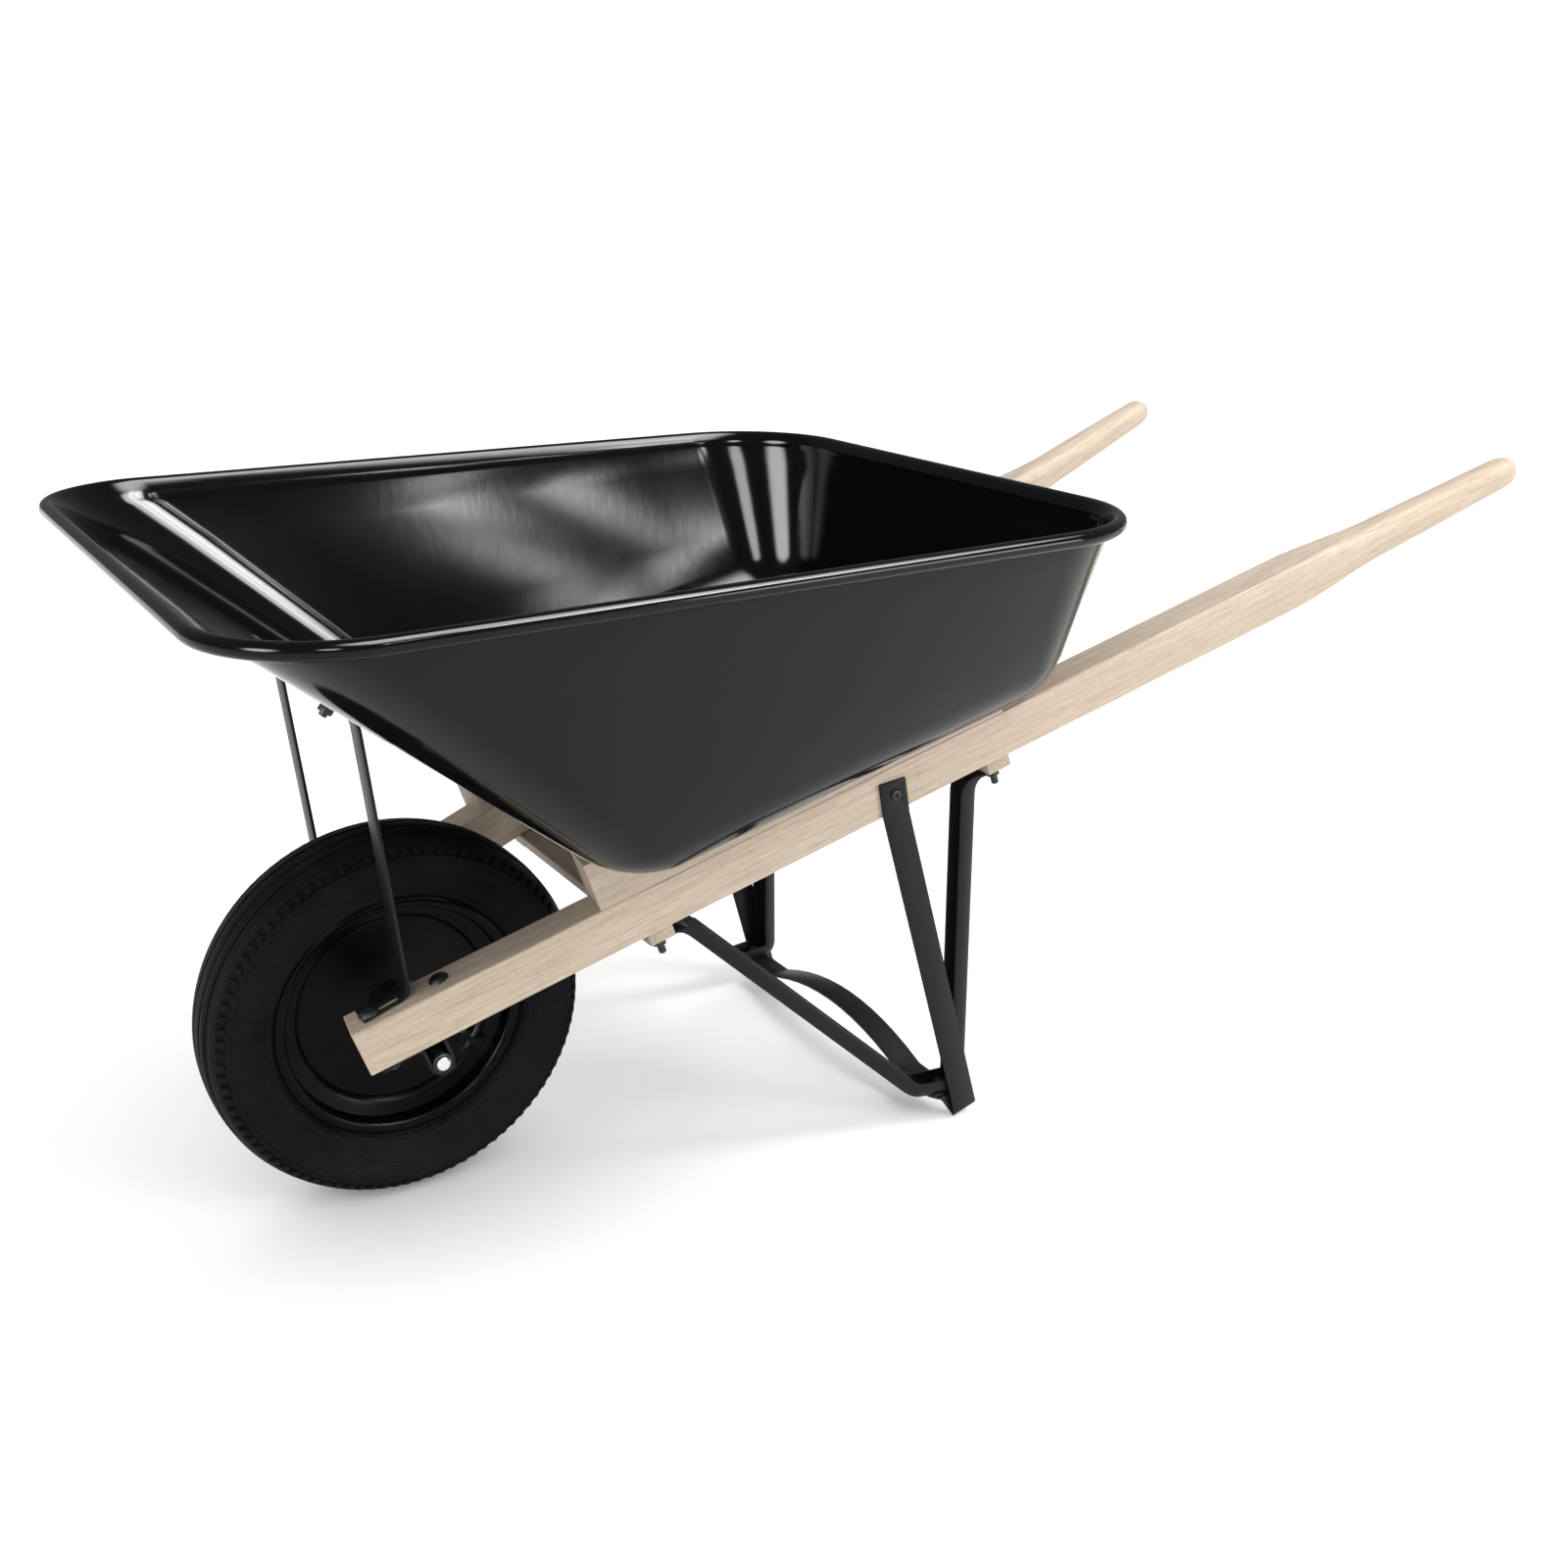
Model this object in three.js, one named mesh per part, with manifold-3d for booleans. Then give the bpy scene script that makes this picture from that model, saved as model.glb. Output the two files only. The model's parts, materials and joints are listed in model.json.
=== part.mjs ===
// Garden wheelbarrow: a pressed steel tray on two splayed wooden handles, one pneumatic wheel in
// front and two strap-steel legs behind.  Millimetres, +Z up, +X towards the grips, +Y to the right.
import * as THREE from 'three';
import { mergeVertices } from 'three/addons/utils/BufferGeometryUtils.js';
import Module from 'manifold-3d';

const wasm = await Module();
wasm.setup();

// ---------------------------------------------------------------- driving dimensions
const GAP = 0.35;                    // clearance between resting neighbours
const CONTACT = 0.05;                // part of the clearance left where a seat is exactly flat

const WHEEL_RADIUS = 190;            // 3.50-8 pneumatic tyre, 380 mm over the tread
const TYRE_HALF_WIDTH = 46;
const RIM_LIP_RADIUS = 125.5;
const RIM_LIP_Y = 30.5;              // outer face of the rim flange from the mid-plane
const RIM_BARREL_RADIUS = 114;
const DISC_RING_RADIUS = 99;
const SHEET_RIM = 2;
const WHEEL_SEGMENTS = 32;

const AXLE_RADIUS = 6.5;
const AXLE_HALF_LENGTH = 142;
const HUB_RADIUS = 15;
const HUB_BORE = 11;
const HUB_HALF_LENGTH = 52;
const BUSH_FLANGE = 3;
const SPACER_RADIUS = 9.1;
const VALVE_RADIUS = 3.2;
const VALVE_ANGLE = THREE.MathUtils.degToRad(-33);

const HANDLE_PITCH = THREE.MathUtils.degToRad(18.5);   // rise of the plane both handles lie in
const HANDLE_SPLAY = THREE.MathUtils.degToRad(7.46);   // spread of each handle in that plane
const HANDLE_WIDTH = 39.6;
const HANDLE_HEIGHT = 48.2;
const HANDLE_LENGTH = 1391;
const GRIP_START = 1058;             // where the square section starts to round off
const GRIP_ROUND = 1200;             // where it is fully round
const HANDLE_FRONT_X = -62;          // outer bottom front corner, in the handle plane
const HANDLE_FRONT_Y = -136;
const HANDLE_OVER_AXLE = 25.5;       // underside of the handles above the axle centre

const WEDGE_START = 250.5;           // riser between handle and tray, measured along the handle
const WEDGE_END = 700;

const CROSSPIECE_WIDTH = 26;
const CROSSPIECE_THICK = 14.2;
const CROSSPIECE_SET_BACK = 4.5;      // its ends stop short of the handles' outer faces
const CROSSPIECE_FRONT_X = 233;      // centres, in the handle plane
const CROSSPIECE_REAR_X = 616.5;

const TRAY_RIM_Z = 660.9;            // centre of the rolled rim
const TRAY_BEAD = 7.5;
const TRAY_SHEET = 1.3;
const TRAY_RIM = { front: -210.4, rear: 665.6, halfFront: 384, halfRear: 353, rFront: 109, rRear: 127 };
const TRAY_FLOOR = { front: 149, rear: 622, halfFront: 275, halfRear: 259, rFront: 46, rRear: 52 };
const TRAY_BEND = 42;                // reach of the rounded edge between floor and walls
const FLOOR_REF_X = 139.4;           // a point of the floor's underside and its slope
const FLOOR_REF_Z = 369.7;
const FLOOR_SLOPE = 0.217;

const STRAP_THICK = 3;
const STRAP_WIDTH = 29;
const LEG_BOLT_X = 535.6;            // where leg, brace and foot strap are bolted together
const LEG_BOLT_Y = -195.5;
const LEG_WEB_Z = 30;                // underside of the leg channel at the bottom
const LEG_WIDTH = 27;
const LEG_FLANGE = 16;
const LEG_SHEET = 2.5;
const BRACE_RISE = 28;               // height of the arch in the leg brace

const NOSE_BRACE_WIDTH = 24;
const NOSE_BRACE_Y = -117;
const NOSE_BOLT_X = -67;

const BRACKET_WIDTH = 26;
const BRACKET_Y = -124;
const BOLT_RADIUS = 4;
const BOLT_HEAD_RADIUS = 10;
const NUT_FLATS = 13;
const NUT_HEIGHT = 6.5;
const BRACKET_BOLTS = [[-38, -121.5], [31, -126]];      // in the handle plane

// ---------------------------------------------------------------- materials
const material = (colour, roughness, metalness) =>
  new THREE.MeshStandardMaterial({ color: colour, roughness, metalness });
const trayEnamel = () => material(0x0c0d0e, 0.28, 0.1);
const frameEnamel = () => material(0x141516, 0.5, 0.2);
const rimEnamel = () => material(0x101112, 0.38, 0.2);
const wood = () => material(0xd9c8b0, 0.65, 0);
const woodShade = () => material(0xcdb79b, 0.7, 0);
const rubber = () => material(0x1b1d1c, 0.85, 0);
const blackBolt = () => material(0x17181a, 0.45, 0.6);
const zinc = () => material(0xb9bcc0, 0.3, 0.95);

// ---------------------------------------------------------------- geometry helpers
/** Signed volume, positive when the faces point outwards. */
function signedVolume(positions, index) {
  const a = new THREE.Vector3(), b = new THREE.Vector3(), c = new THREE.Vector3();
  let volume = 0;
  for (let i = 0; i < index.length; i += 3) {
    a.fromArray(positions, index[i] * 3);
    b.fromArray(positions, index[i + 1] * 3);
    c.fromArray(positions, index[i + 2] * 3);
    volume += a.dot(b.cross(c)) / 6;
  }
  return volume;
}

/** Indexed geometry from points and faces, turned so that its faces point outwards. */
function closedGeometry(points, faces) {
  const positions = points.flatMap((p) => [p.x, p.y, p.z]);
  if (signedVolume(positions, faces) < 0) {
    for (let i = 0; i < faces.length; i += 3) [faces[i], faces[i + 1]] = [faces[i + 1], faces[i]];
  }
  const geometry = new THREE.BufferGeometry();
  geometry.setAttribute('position', new THREE.Float32BufferAttribute(positions, 3));
  geometry.setIndex(faces);
  return geometry;
}

/** Triangles that close a flat ring of points; ids are the ring's vertex numbers. */
function capFaces(ring, firstId, flip) {
  const normal = new THREE.Vector3();
  ring.forEach((p, i) => normal.add(new THREE.Vector3().crossVectors(p, ring[(i + 1) % ring.length])));
  normal.normalize();
  const u = new THREE.Vector3(Math.abs(normal.x) < 0.9 ? 1 : 0, Math.abs(normal.x) < 0.9 ? 0 : 1, 0);
  u.cross(normal).normalize();
  const v = new THREE.Vector3().crossVectors(normal, u);
  const flat = ring.map((p) => new THREE.Vector2(p.dot(u), p.dot(v)));
  const clockwise = THREE.ShapeUtils.isClockWise(flat);
  return THREE.ShapeUtils.triangulateShape(flat, []).flatMap(([i, j, k]) =>
    (clockwise !== flip ? [i, j, k] : [i, k, j]).map((n) => n + firstId));
}

/** Solid skinned through rings with the same number of points, closed by its end rings. */
function loft(rings) {
  const n = rings[0].length;
  const points = rings.flat(), faces = [];
  for (let r = 0; r + 1 < rings.length; r++) {
    for (let i = 0; i < n; i++) {
      const a = r * n + i, b = r * n + (i + 1) % n;
      // The shorter diagonal, so that mirrored halves are split alike.
      const leaning = points[a].distanceTo(points[b + n]) + 1e-4 < points[b].distanceTo(points[a + n]);
      if (leaning) faces.push(a, b, b + n, a, b + n, a + n);
      else faces.push(a, b, a + n, b, b + n, a + n);
    }
  }
  const last = (rings.length - 1) * n;
  faces.push(...capFaces(rings[0], 0, false), ...capFaces(rings[rings.length - 1], last, true));
  return closedGeometry(points, faces);
}

/** Plain welded copy of a geometry: positions only, one vertex per corner. */
function welded(geometry) {
  const plain = geometry.clone();
  for (const name of Object.keys(plain.attributes)) if (name !== 'position') plain.deleteAttribute(name);
  return mergeVertices(plain, 1e-3);
}

function toSolid(geometry) {
  const plain = welded(geometry);
  return new wasm.Manifold(new wasm.Mesh({
    numProp: 3,
    vertProperties: Float32Array.from(plain.attributes.position.array),
    triVerts: Uint32Array.from(plain.index.array),
  }));
}

function fromSolid(solid) {
  const mesh = solid.getMesh();
  const geometry = new THREE.BufferGeometry();
  geometry.setAttribute('position', new THREE.BufferAttribute(mesh.vertProperties, 3));
  geometry.setIndex(new THREE.BufferAttribute(mesh.triVerts, 1));
  return geometry;
}

/** A piece with round holes: each hole is [radius, from, to]. */
function drilled(geometry, holes) {
  let solid = toSolid(geometry);
  for (const [radius, from, to] of holes) solid = solid.subtract(toSolid(rod(radius, from, to, 12)));
  return fromSolid(solid);
}

/** Revolved solid about the line from a start point towards an end point; profile is [radius, distance]. */
function turned(profile, from, to, segments = 24) {
  const axis = new THREE.Vector3().subVectors(to, from).normalize();
  const geometry = new THREE.LatheGeometry(profile.map(([r, d]) => new THREE.Vector2(r, d)), segments);
  const turn = new THREE.Quaternion().setFromUnitVectors(new THREE.Vector3(0, 1, 0), axis);
  geometry.applyQuaternion(turn).translate(from.x, from.y, from.z);
  const plain = dropSlivers(welded(geometry));
  return closedGeometry(pointsOf(plain), Array.from(plain.index.array));
}

function pointsOf(geometry) {
  const at = geometry.attributes.position;
  return Array.from({ length: at.count }, (_, i) => new THREE.Vector3().fromBufferAttribute(at, i));
}

/** Removes the collapsed triangles a lathe leaves on its axis. */
function dropSlivers(geometry) {
  const index = Array.from(geometry.index.array);
  const kept = [];
  for (let i = 0; i < index.length; i += 3) {
    const [a, b, c] = index.slice(i, i + 3);
    if (a !== b && b !== c && a !== c) kept.push(a, b, c);
  }
  geometry.setIndex(kept);
  return geometry;
}

const rod = (radius, from, to, segments = 16) =>
  turned([[0, 0], [radius, 0], [radius, from.distanceTo(to)], [0, from.distanceTo(to)]], from, to, segments);

const vec = (x, y, z) => new THREE.Vector3(x, y, z);

/** Flat strip bent along a line of [a, b] points, as a closed outline of even thickness. */
function stripOutline(line, thickness) {
  const side = (sign) => line.map(([a, b], i) => {
    const [pa, pb] = line[Math.max(i - 1, 0)], [na, nb] = line[Math.min(i + 1, line.length - 1)];
    const before = new THREE.Vector2(a - pa, b - pb).normalize();
    const after = new THREE.Vector2(na - a, nb - b).normalize();
    const along = before.clone().add(after).normalize();
    const spread = thickness / 2 / Math.max(Math.abs(along.dot(i ? before : after)), 0.3);
    return new THREE.Vector2(a - along.y * spread * sign, b + along.x * spread * sign);
  });
  return [...side(1), ...side(-1).reverse()];
}

/** Prism between two copies of an outline; place maps an outline point and side (0 or 1) into space. */
const prism = (outline, place) => loft([0, 1].map((end) => outline.map((p) => place(p.x, p.y, end))));

/** Points of a circular arc from one angle to another, in degrees. */
function arc(cx, cy, radius, from, to, steps) {
  return Array.from({ length: steps + 1 }, (_, i) => {
    const angle = THREE.MathUtils.degToRad(from + (to - from) * i / steps);
    return [cx + radius * Math.cos(angle), cy + radius * Math.sin(angle)];
  });
}

// ---------------------------------------------------------------- frames of reference
// The handle plane: origin on the axle, x' rising towards the grips, z' square to the handles.
const planeMatrix = new THREE.Matrix4().makeRotationY(-HANDLE_PITCH).setPosition(0, 0, WHEEL_RADIUS);
// The left handle's own frame: X along the handle, Y inwards, Z up, from its outer bottom front corner.
const lineInPlane = new THREE.Matrix4().makeRotationZ(-HANDLE_SPLAY)
  .setPosition(HANDLE_FRONT_X, HANDLE_FRONT_Y, HANDLE_OVER_AXLE);
const lineMatrix = planeMatrix.clone().multiply(lineInPlane);

const planePoint = (x, y, z) => vec(x, y, z).applyMatrix4(planeMatrix);
const linePoint = (x, y, z) => vec(x, y, z).applyMatrix4(lineMatrix);
const floorZ = (x) => FLOOR_REF_Z + FLOOR_SLOPE * (x - FLOOR_REF_X);
const outerFaceY = (x) => HANDLE_FRONT_Y - (x - HANDLE_FRONT_X) * Math.tan(HANDLE_SPLAY);
const centreLineY = (x) => outerFaceY(x) + HANDLE_WIDTH / 2 / Math.cos(HANDLE_SPLAY);

/** Height above the handle plane where a line square to it meets the tray's underside. */
function floorAbovePlane(x) {
  const low = planePoint(x, 0, 0), high = planePoint(x, 0, 100);
  const gapLow = floorZ(low.x) - low.z, gapHigh = floorZ(high.x) - high.z;
  return 100 * gapLow / (gapLow - gapHigh);
}

const handleTop = HANDLE_OVER_AXLE + HANDLE_HEIGHT;
const crossBottom = HANDLE_OVER_AXLE - GAP - CROSSPIECE_THICK;
const plateTop = crossBottom - GAP;

// ---------------------------------------------------------------- handles, wedges, crosspieces
/** Rounded rectangle about a centre, as 16 points. */
function roundedSection(x, centreY, centreZ, halfY, halfZ, radius) {
  const ring = [];
  for (const [sy, sz, start] of [[1, 1, 0], [-1, 1, 90], [-1, -1, 180], [1, -1, 270]]) {
    for (const [y, z] of arc(0, 0, radius, start, start + 90, 3)) {
      ring.push(vec(x, centreY + sy * (halfY - radius) + y, centreZ + sz * (halfZ - radius) + z));
    }
  }
  return ring;
}

function handleGeometry() {
  const halfY = HANDLE_WIDTH / 2, halfZ = HANDLE_HEIGHT / 2, edge = 2;
  const rings = [
    roundedSection(0, halfY, halfZ, halfY - 1, halfZ - 1, edge),
    roundedSection(1, halfY, halfZ, halfY, halfZ, edge),
    roundedSection(GRIP_START - 12, halfY, halfZ, halfY, halfZ, edge),
  ];
  const gripLift = 3, roundRadius = 20.9;
  for (const t of [0.12, 0.3, 0.5, 0.7, 0.88, 1]) {
    const x = GRIP_START + (GRIP_ROUND - GRIP_START) * t, blend = t * t * (3 - 2 * t);
    const y = THREE.MathUtils.lerp(halfY, roundRadius, blend);
    const z = THREE.MathUtils.lerp(halfZ, roundRadius, blend);
    rings.push(roundedSection(x, halfY, halfZ + gripLift * 0.4 * t, y, z, edge + (Math.min(y, z) - edge - 0.1) * blend));
  }
  for (const [x, radius, lift] of [[1290, 18.9, 0.7], [1350, 17.5, 0.95], [1368, 17, 1], [1380, 15.2, 1],
    [1387, 11.5, 1], [HANDLE_LENGTH, 5.5, 1]]) {
    rings.push(roundedSection(x, halfY, halfZ + gripLift * lift, radius, radius, radius - 0.1));
  }
  return loft(rings);
}

const lineX = (x) => (x - HANDLE_FRONT_X - HANDLE_WIDTH / 2 * Math.sin(HANDLE_SPLAY)) / Math.cos(HANDLE_SPLAY);
const inLine = (x, y, z) => vec(x, y, z).applyMatrix4(lineInPlane.clone().invert());

/** Hole square to the handle plane, given in plane coordinates, as seen from the handle's frame. */
const holeInLine = ([x, y], low, high) =>
  [BOLT_RADIUS + GAP, inLine(x, y, low), inLine(x, y, high)];

const FRONT_BOLT = [CROSSPIECE_FRONT_X, centreLineY(CROSSPIECE_FRONT_X)];
const REAR_BOLT = [CROSSPIECE_REAR_X, centreLineY(CROSSPIECE_REAR_X)];
const SCREW = { x: 563.8, z: 20, radius: 2.5, length: 24 };

function drilledHandle() {
  const holes = [...BRACKET_BOLTS, FRONT_BOLT, REAR_BOLT].map((at) => holeInLine(at, 0, 120));
  holes.push([SCREW.radius + GAP, vec(SCREW.x, -5, SCREW.z), vec(SCREW.x, SCREW.length + 2, SCREW.z)]);
  return drilled(handleGeometry(), holes);
}

/** Riser that fills the space between the handle's top and the sloping tray. */
function wedgeGeometry() {
  const corner = (x, y, top) => {
    const planeX = vec(x, y, 0).applyMatrix4(lineInPlane).x;
    const z = top ? floorAbovePlane(planeX) - HANDLE_OVER_AXLE - GAP - CONTACT : HANDLE_HEIGHT + GAP;
    return vec(x, y, z);
  };
  const ends = [WEDGE_START, WEDGE_END].map((x) =>
    [corner(x, 0, false), corner(x, HANDLE_WIDTH, false), corner(x, HANDLE_WIDTH, true), corner(x, 0, true)]);
  return drilled(loft(ends), [FRONT_BOLT, REAR_BOLT].map((at) => holeInLine(at, 20, 180)));
}

/** Board across both handles, its ends flush with their outer faces; in plane coordinates. */
function crosspieceGeometry(centre) {
  const from = centre - CROSSPIECE_WIDTH / 2, to = centre + CROSSPIECE_WIDTH / 2;
  const end = (x) => outerFaceY(x) + CROSSPIECE_SET_BACK;
  const outline = [[from, end(from)], [to, end(to)], [to, -end(to)], [from, -end(from)]];
  const board = prism(outline.map(([x, y]) => new THREE.Vector2(x, y)),
    (x, y, end) => vec(x, y, crossBottom + end * CROSSPIECE_THICK));
  const y = centreLineY(centre);
  return drilled(board, [y, -y].map((at) =>
    [BOLT_RADIUS + GAP, vec(centre, at, crossBottom - 10), vec(centre, at, crossBottom + 40)]));
}

// ---------------------------------------------------------------- tray
/** Closed outline of a rounded trapezoid, the same number of points for every size. */
function trayOutline({ front, rear, halfFront, halfRear, rFront, rRear }, inset = 0) {
  const corners = [
    [front + inset, -(halfFront - inset), Math.max(rFront - inset, 4)],
    [rear - inset, -(halfRear - inset), Math.max(rRear - inset, 4)],
    [rear - inset, halfRear - inset, Math.max(rRear - inset, 4)],
    [front + inset, halfFront - inset, Math.max(rFront - inset, 4)],
  ];
  const cornerSteps = 7, points = [];
  corners.forEach(([x, y, radius], i) => {
    const here = new THREE.Vector2(x, y);
    const toPrev = new THREE.Vector2(...corners[(i + 3) % 4]).sub(here).normalize();
    const toNext = new THREE.Vector2(...corners[(i + 1) % 4]).sub(here).normalize();
    const half = Math.acos(toPrev.dot(toNext)) / 2;
    const start = here.clone().addScaledVector(toPrev, radius / Math.tan(half));
    const middle = toPrev.clone().add(toNext).normalize();
    const centre = here.clone().addScaledVector(middle, radius / Math.sin(half));
    const first = start.clone().sub(centre), turn = Math.PI - 2 * half;
    for (let k = 0; k <= cornerSteps; k++) {
      const spoke = first.clone().rotateAround(new THREE.Vector2(), turn * k / cornerSteps);
      points.push(centre.clone().add(spoke));
    }
  });
  const filled = [];
  const edgeSteps = 5;
  points.forEach((p, i) => {
    filled.push(p);
    if ((i + 1) % (cornerSteps + 1) !== 0) return;
    const next = points[(i + 1) % points.length];
    for (let k = 1; k < edgeSteps; k++) filled.push(p.clone().lerp(next, k / edgeSteps));
  });
  return filled;
}

/** One slice of the tray from the floor, up the outside, round the rim and down the inside. */
function traySlice(rim, foot, inner, outward) {
  const wall = foot.clone().sub(rim).normalize();
  const side = vec(outward.x, outward.y, 0);
  const inNormal = side.clone().multiplyScalar(wall.z).addScaledVector(vec(0, 0, 1), -wall.dot(side)).normalize();
  const inFloor = vec(-FLOOR_SLOPE, 0, 1).normalize();
  const start = foot.clone().addScaledVector(wall, -TRAY_BEND);
  const bend = [1, 0.8, 0.6, 0.4, 0.2, 0].map((t) => {
    const point = start.clone().multiplyScalar((1 - t) * (1 - t)).addScaledVector(foot, 2 * t * (1 - t))
      .addScaledVector(inner, t * t);
    const normal = inNormal.clone().lerp(inFloor, t).normalize();
    return [point, point.clone().addScaledVector(normal, TRAY_SHEET)];
  });
  const leave = THREE.MathUtils.radToDeg(Math.atan2(wall.z, wall.dot(side)));
  const sheetTurn = THREE.MathUtils.radToDeg(Math.asin(TRAY_SHEET / TRAY_BEAD));
  const back = leave + 360 - sheetTurn;
  const bead = arc(0, 0, TRAY_BEAD, leave, back, 9).map(([out, up]) =>
    rim.clone().addScaledVector(side, out).add(vec(0, 0, up)));
  return [...bend.map(([outside]) => outside), ...bead, ...bend.reverse().map(([, inside]) => inside)];
}

function trayGeometry() {
  const rim = trayOutline(TRAY_RIM), foot = trayOutline(TRAY_FLOOR), inner = trayOutline(TRAY_FLOOR, TRAY_BEND);
  const count = rim.length;
  const slices = rim.map((p, i) => {
    const before = rim[(i + count - 1) % count], after = rim[(i + 1) % count];
    const along = after.clone().sub(before).normalize();
    const onFloor = (q) => vec(q.x, q.y, floorZ(q.x));
    return traySlice(vec(p.x, p.y, TRAY_RIM_Z), onFloor(foot[i]), onFloor(inner[i]), vec(along.y, -along.x, 0));
  });
  const rings = slices[0].map((_, r) => slices.map((slice) => slice[r]));
  const holes = [...sideHoles(1), ...sideHoles(-1)];
  return drilled(loft(rings), holes);
}

/** The tray's bolt holes on one side: two through the floor and one through the nose wall. */
function sideHoles(mirror) {
  const flip = (p) => vec(p.x, p.y * mirror, p.z);
  const floorHoles = [FRONT_BOLT, REAR_BOLT].map(([x, y]) => [planePoint(x, y, 60), planePoint(x, y, 180)]);
  const nose = [noseBoltPoint(-30), noseBoltPoint(30)];
  return [...floorHoles, nose].map(([low, high]) => [BOLT_RADIUS + GAP, flip(low), flip(high)]);
}

// The nose wall is flat across the middle: its line in the X-Z plane and its outward normal.
const noseTop = vec(TRAY_RIM.front, 0, TRAY_RIM_Z);
const noseFoot = vec(TRAY_FLOOR.front, 0, floorZ(TRAY_FLOOR.front));
const noseAlong = noseTop.clone().sub(noseFoot).normalize();
const noseInward = vec(noseAlong.z, 0, -noseAlong.x);
const onNose = (x) => noseFoot.clone().addScaledVector(noseAlong, (x - noseFoot.x) / noseAlong.x);
const noseBoltPoint = (depth) =>
  onNose(NOSE_BOLT_X).add(vec(0, NOSE_BRACE_Y, 0)).addScaledVector(noseInward, depth);

/** Flat bar from the handle's top up to the underside of the tray's nose. */
function noseBraceGeometry() {
  const half = STRAP_THICK / 2;
  const footFront = planePoint(-46, 0, handleTop + GAP + half);
  const footBack = planePoint(1, 0, handleTop + GAP + half);
  const corner = onNose(-47).addScaledVector(noseInward, -(half + GAP));
  const tip = onNose(-88).addScaledVector(noseInward, -(half + GAP));
  const ease = (from, corner3, to, reach) => {
    const a = corner3.clone().addScaledVector(from.clone().sub(corner3).normalize(), reach);
    const b = corner3.clone().addScaledVector(to.clone().sub(corner3).normalize(), reach);
    return [a, corner3.clone().multiplyScalar(2).add(a).add(b).multiplyScalar(0.25), b];
  };
  const line = [footFront, ...ease(footFront, footBack, corner, 8), ...ease(footBack, corner, tip, 8), tip];
  const outline = stripOutline(line.map((p) => [p.x, p.z]), STRAP_THICK);
  const bar = prism(outline, (x, z, end) => vec(x, NOSE_BRACE_Y + (end - 0.5) * NOSE_BRACE_WIDTH, z));
  return drilledBar(bar);
}

/** Bolt hole in the nose brace's top, and the long slot in its foot. */
function drilledBar(bar) {
  const solid = toSolid(drilled(bar, [[BOLT_RADIUS + GAP, noseBoltPoint(-30), noseBoltPoint(30)]]));
  const [boltX, boltY] = BRACKET_BOLTS[0];
  const slotHalf = BOLT_RADIUS + GAP, slotLength = 26;
  const outline = [...arc(boltX, boltY, slotHalf, 90, 270, 6), ...arc(boltX + slotLength, boltY, slotHalf, -90, 90, 6)];
  const slot = prism(outline.map(([x, y]) => new THREE.Vector2(x, y)),
    (x, y, end) => planePoint(x, y, handleTop - 5 + end * 14));
  return fromSolid(solid.subtract(toSolid(slot)));
}

// ---------------------------------------------------------------- axle brackets
/** U-strap below the handle that carries the axle; in plane coordinates. */
function bracketGeometry() {
  const half = STRAP_THICK / 2, radius = SPACER_RADIUS + GAP + half, ease = 6;
  const top = HANDLE_OVER_AXLE - GAP - half;
  const left = [[-51, top], ...arc(-radius - ease, top - ease, ease, 90, 0, 4)];
  const right = left.map(([x, z]) => [-x, z]).reverse();
  right[right.length - 1][0] = 45;
  const line = [...left, ...arc(0, 0, radius, 180, 360, 10), ...right];
  const strap = prism(stripOutline(line, STRAP_THICK), (x, z, end) => vec(x, BRACKET_Y + (end - 0.5) * BRACKET_WIDTH, z));
  return drilled(strap, BRACKET_BOLTS.map(([x, y]) => [BOLT_RADIUS + GAP, vec(x, y, 10), vec(x, y, 40)]));
}

// ---------------------------------------------------------------- legs
/** Pressed channel section, or the flat strip it opens into at its two ends (opening 0 to 1). */
function channelSection(open) {
  const mix = THREE.MathUtils.lerp, w = LEG_WIDTH / 2, f = LEG_FLANGE, t = LEG_SHEET;
  const web = w * 0.76;
  const outer = [[w, f], [w, f / 2], [web, 0]];
  const outerFlat = [[w, t * 0.9], [w * 0.9, 0], [web, 0]];
  const inner = [[w - t, f], [w - t, f / 2 + 0.6], [web - t * 0.6, t]];
  const innerFlat = [[w - 1, t], [w * 0.85, t], [web - t * 0.6, t]];
  const blend = (flat, full) => flat.map(([a, b], i) => [mix(a, full[i][0], open), mix(b, full[i][1], open)]);
  const right = blend(outerFlat, outer), rightIn = blend(innerFlat, inner);
  const mirrored = (list) => list.map(([a, b]) => [-a, b]);
  return [...mirrored(right), ...right.slice().reverse(), ...rightIn, ...mirrored(rightIn).reverse()];
}

// The left leg bends in the upright plane through the handle's centre line.
const legHeading = new THREE.Vector3().setFromMatrixColumn(lineMatrix, 0).setZ(0).normalize();
const legSideways = vec(-legHeading.y, legHeading.x, 0);

/** Point beside the leg's plane; the flat end plates (open 0) lie square across the crosspieces. */
function legPoint(x, z, offset, open) {
  const across = vec(0, 1, 0).lerp(legSideways, open).normalize();
  return vec(LEG_BOLT_X, LEG_BOLT_Y, 0).addScaledVector(legHeading, (x - LEG_BOLT_X) / legHeading.x)
    .setZ(z).addScaledVector(across, offset);
}

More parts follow.
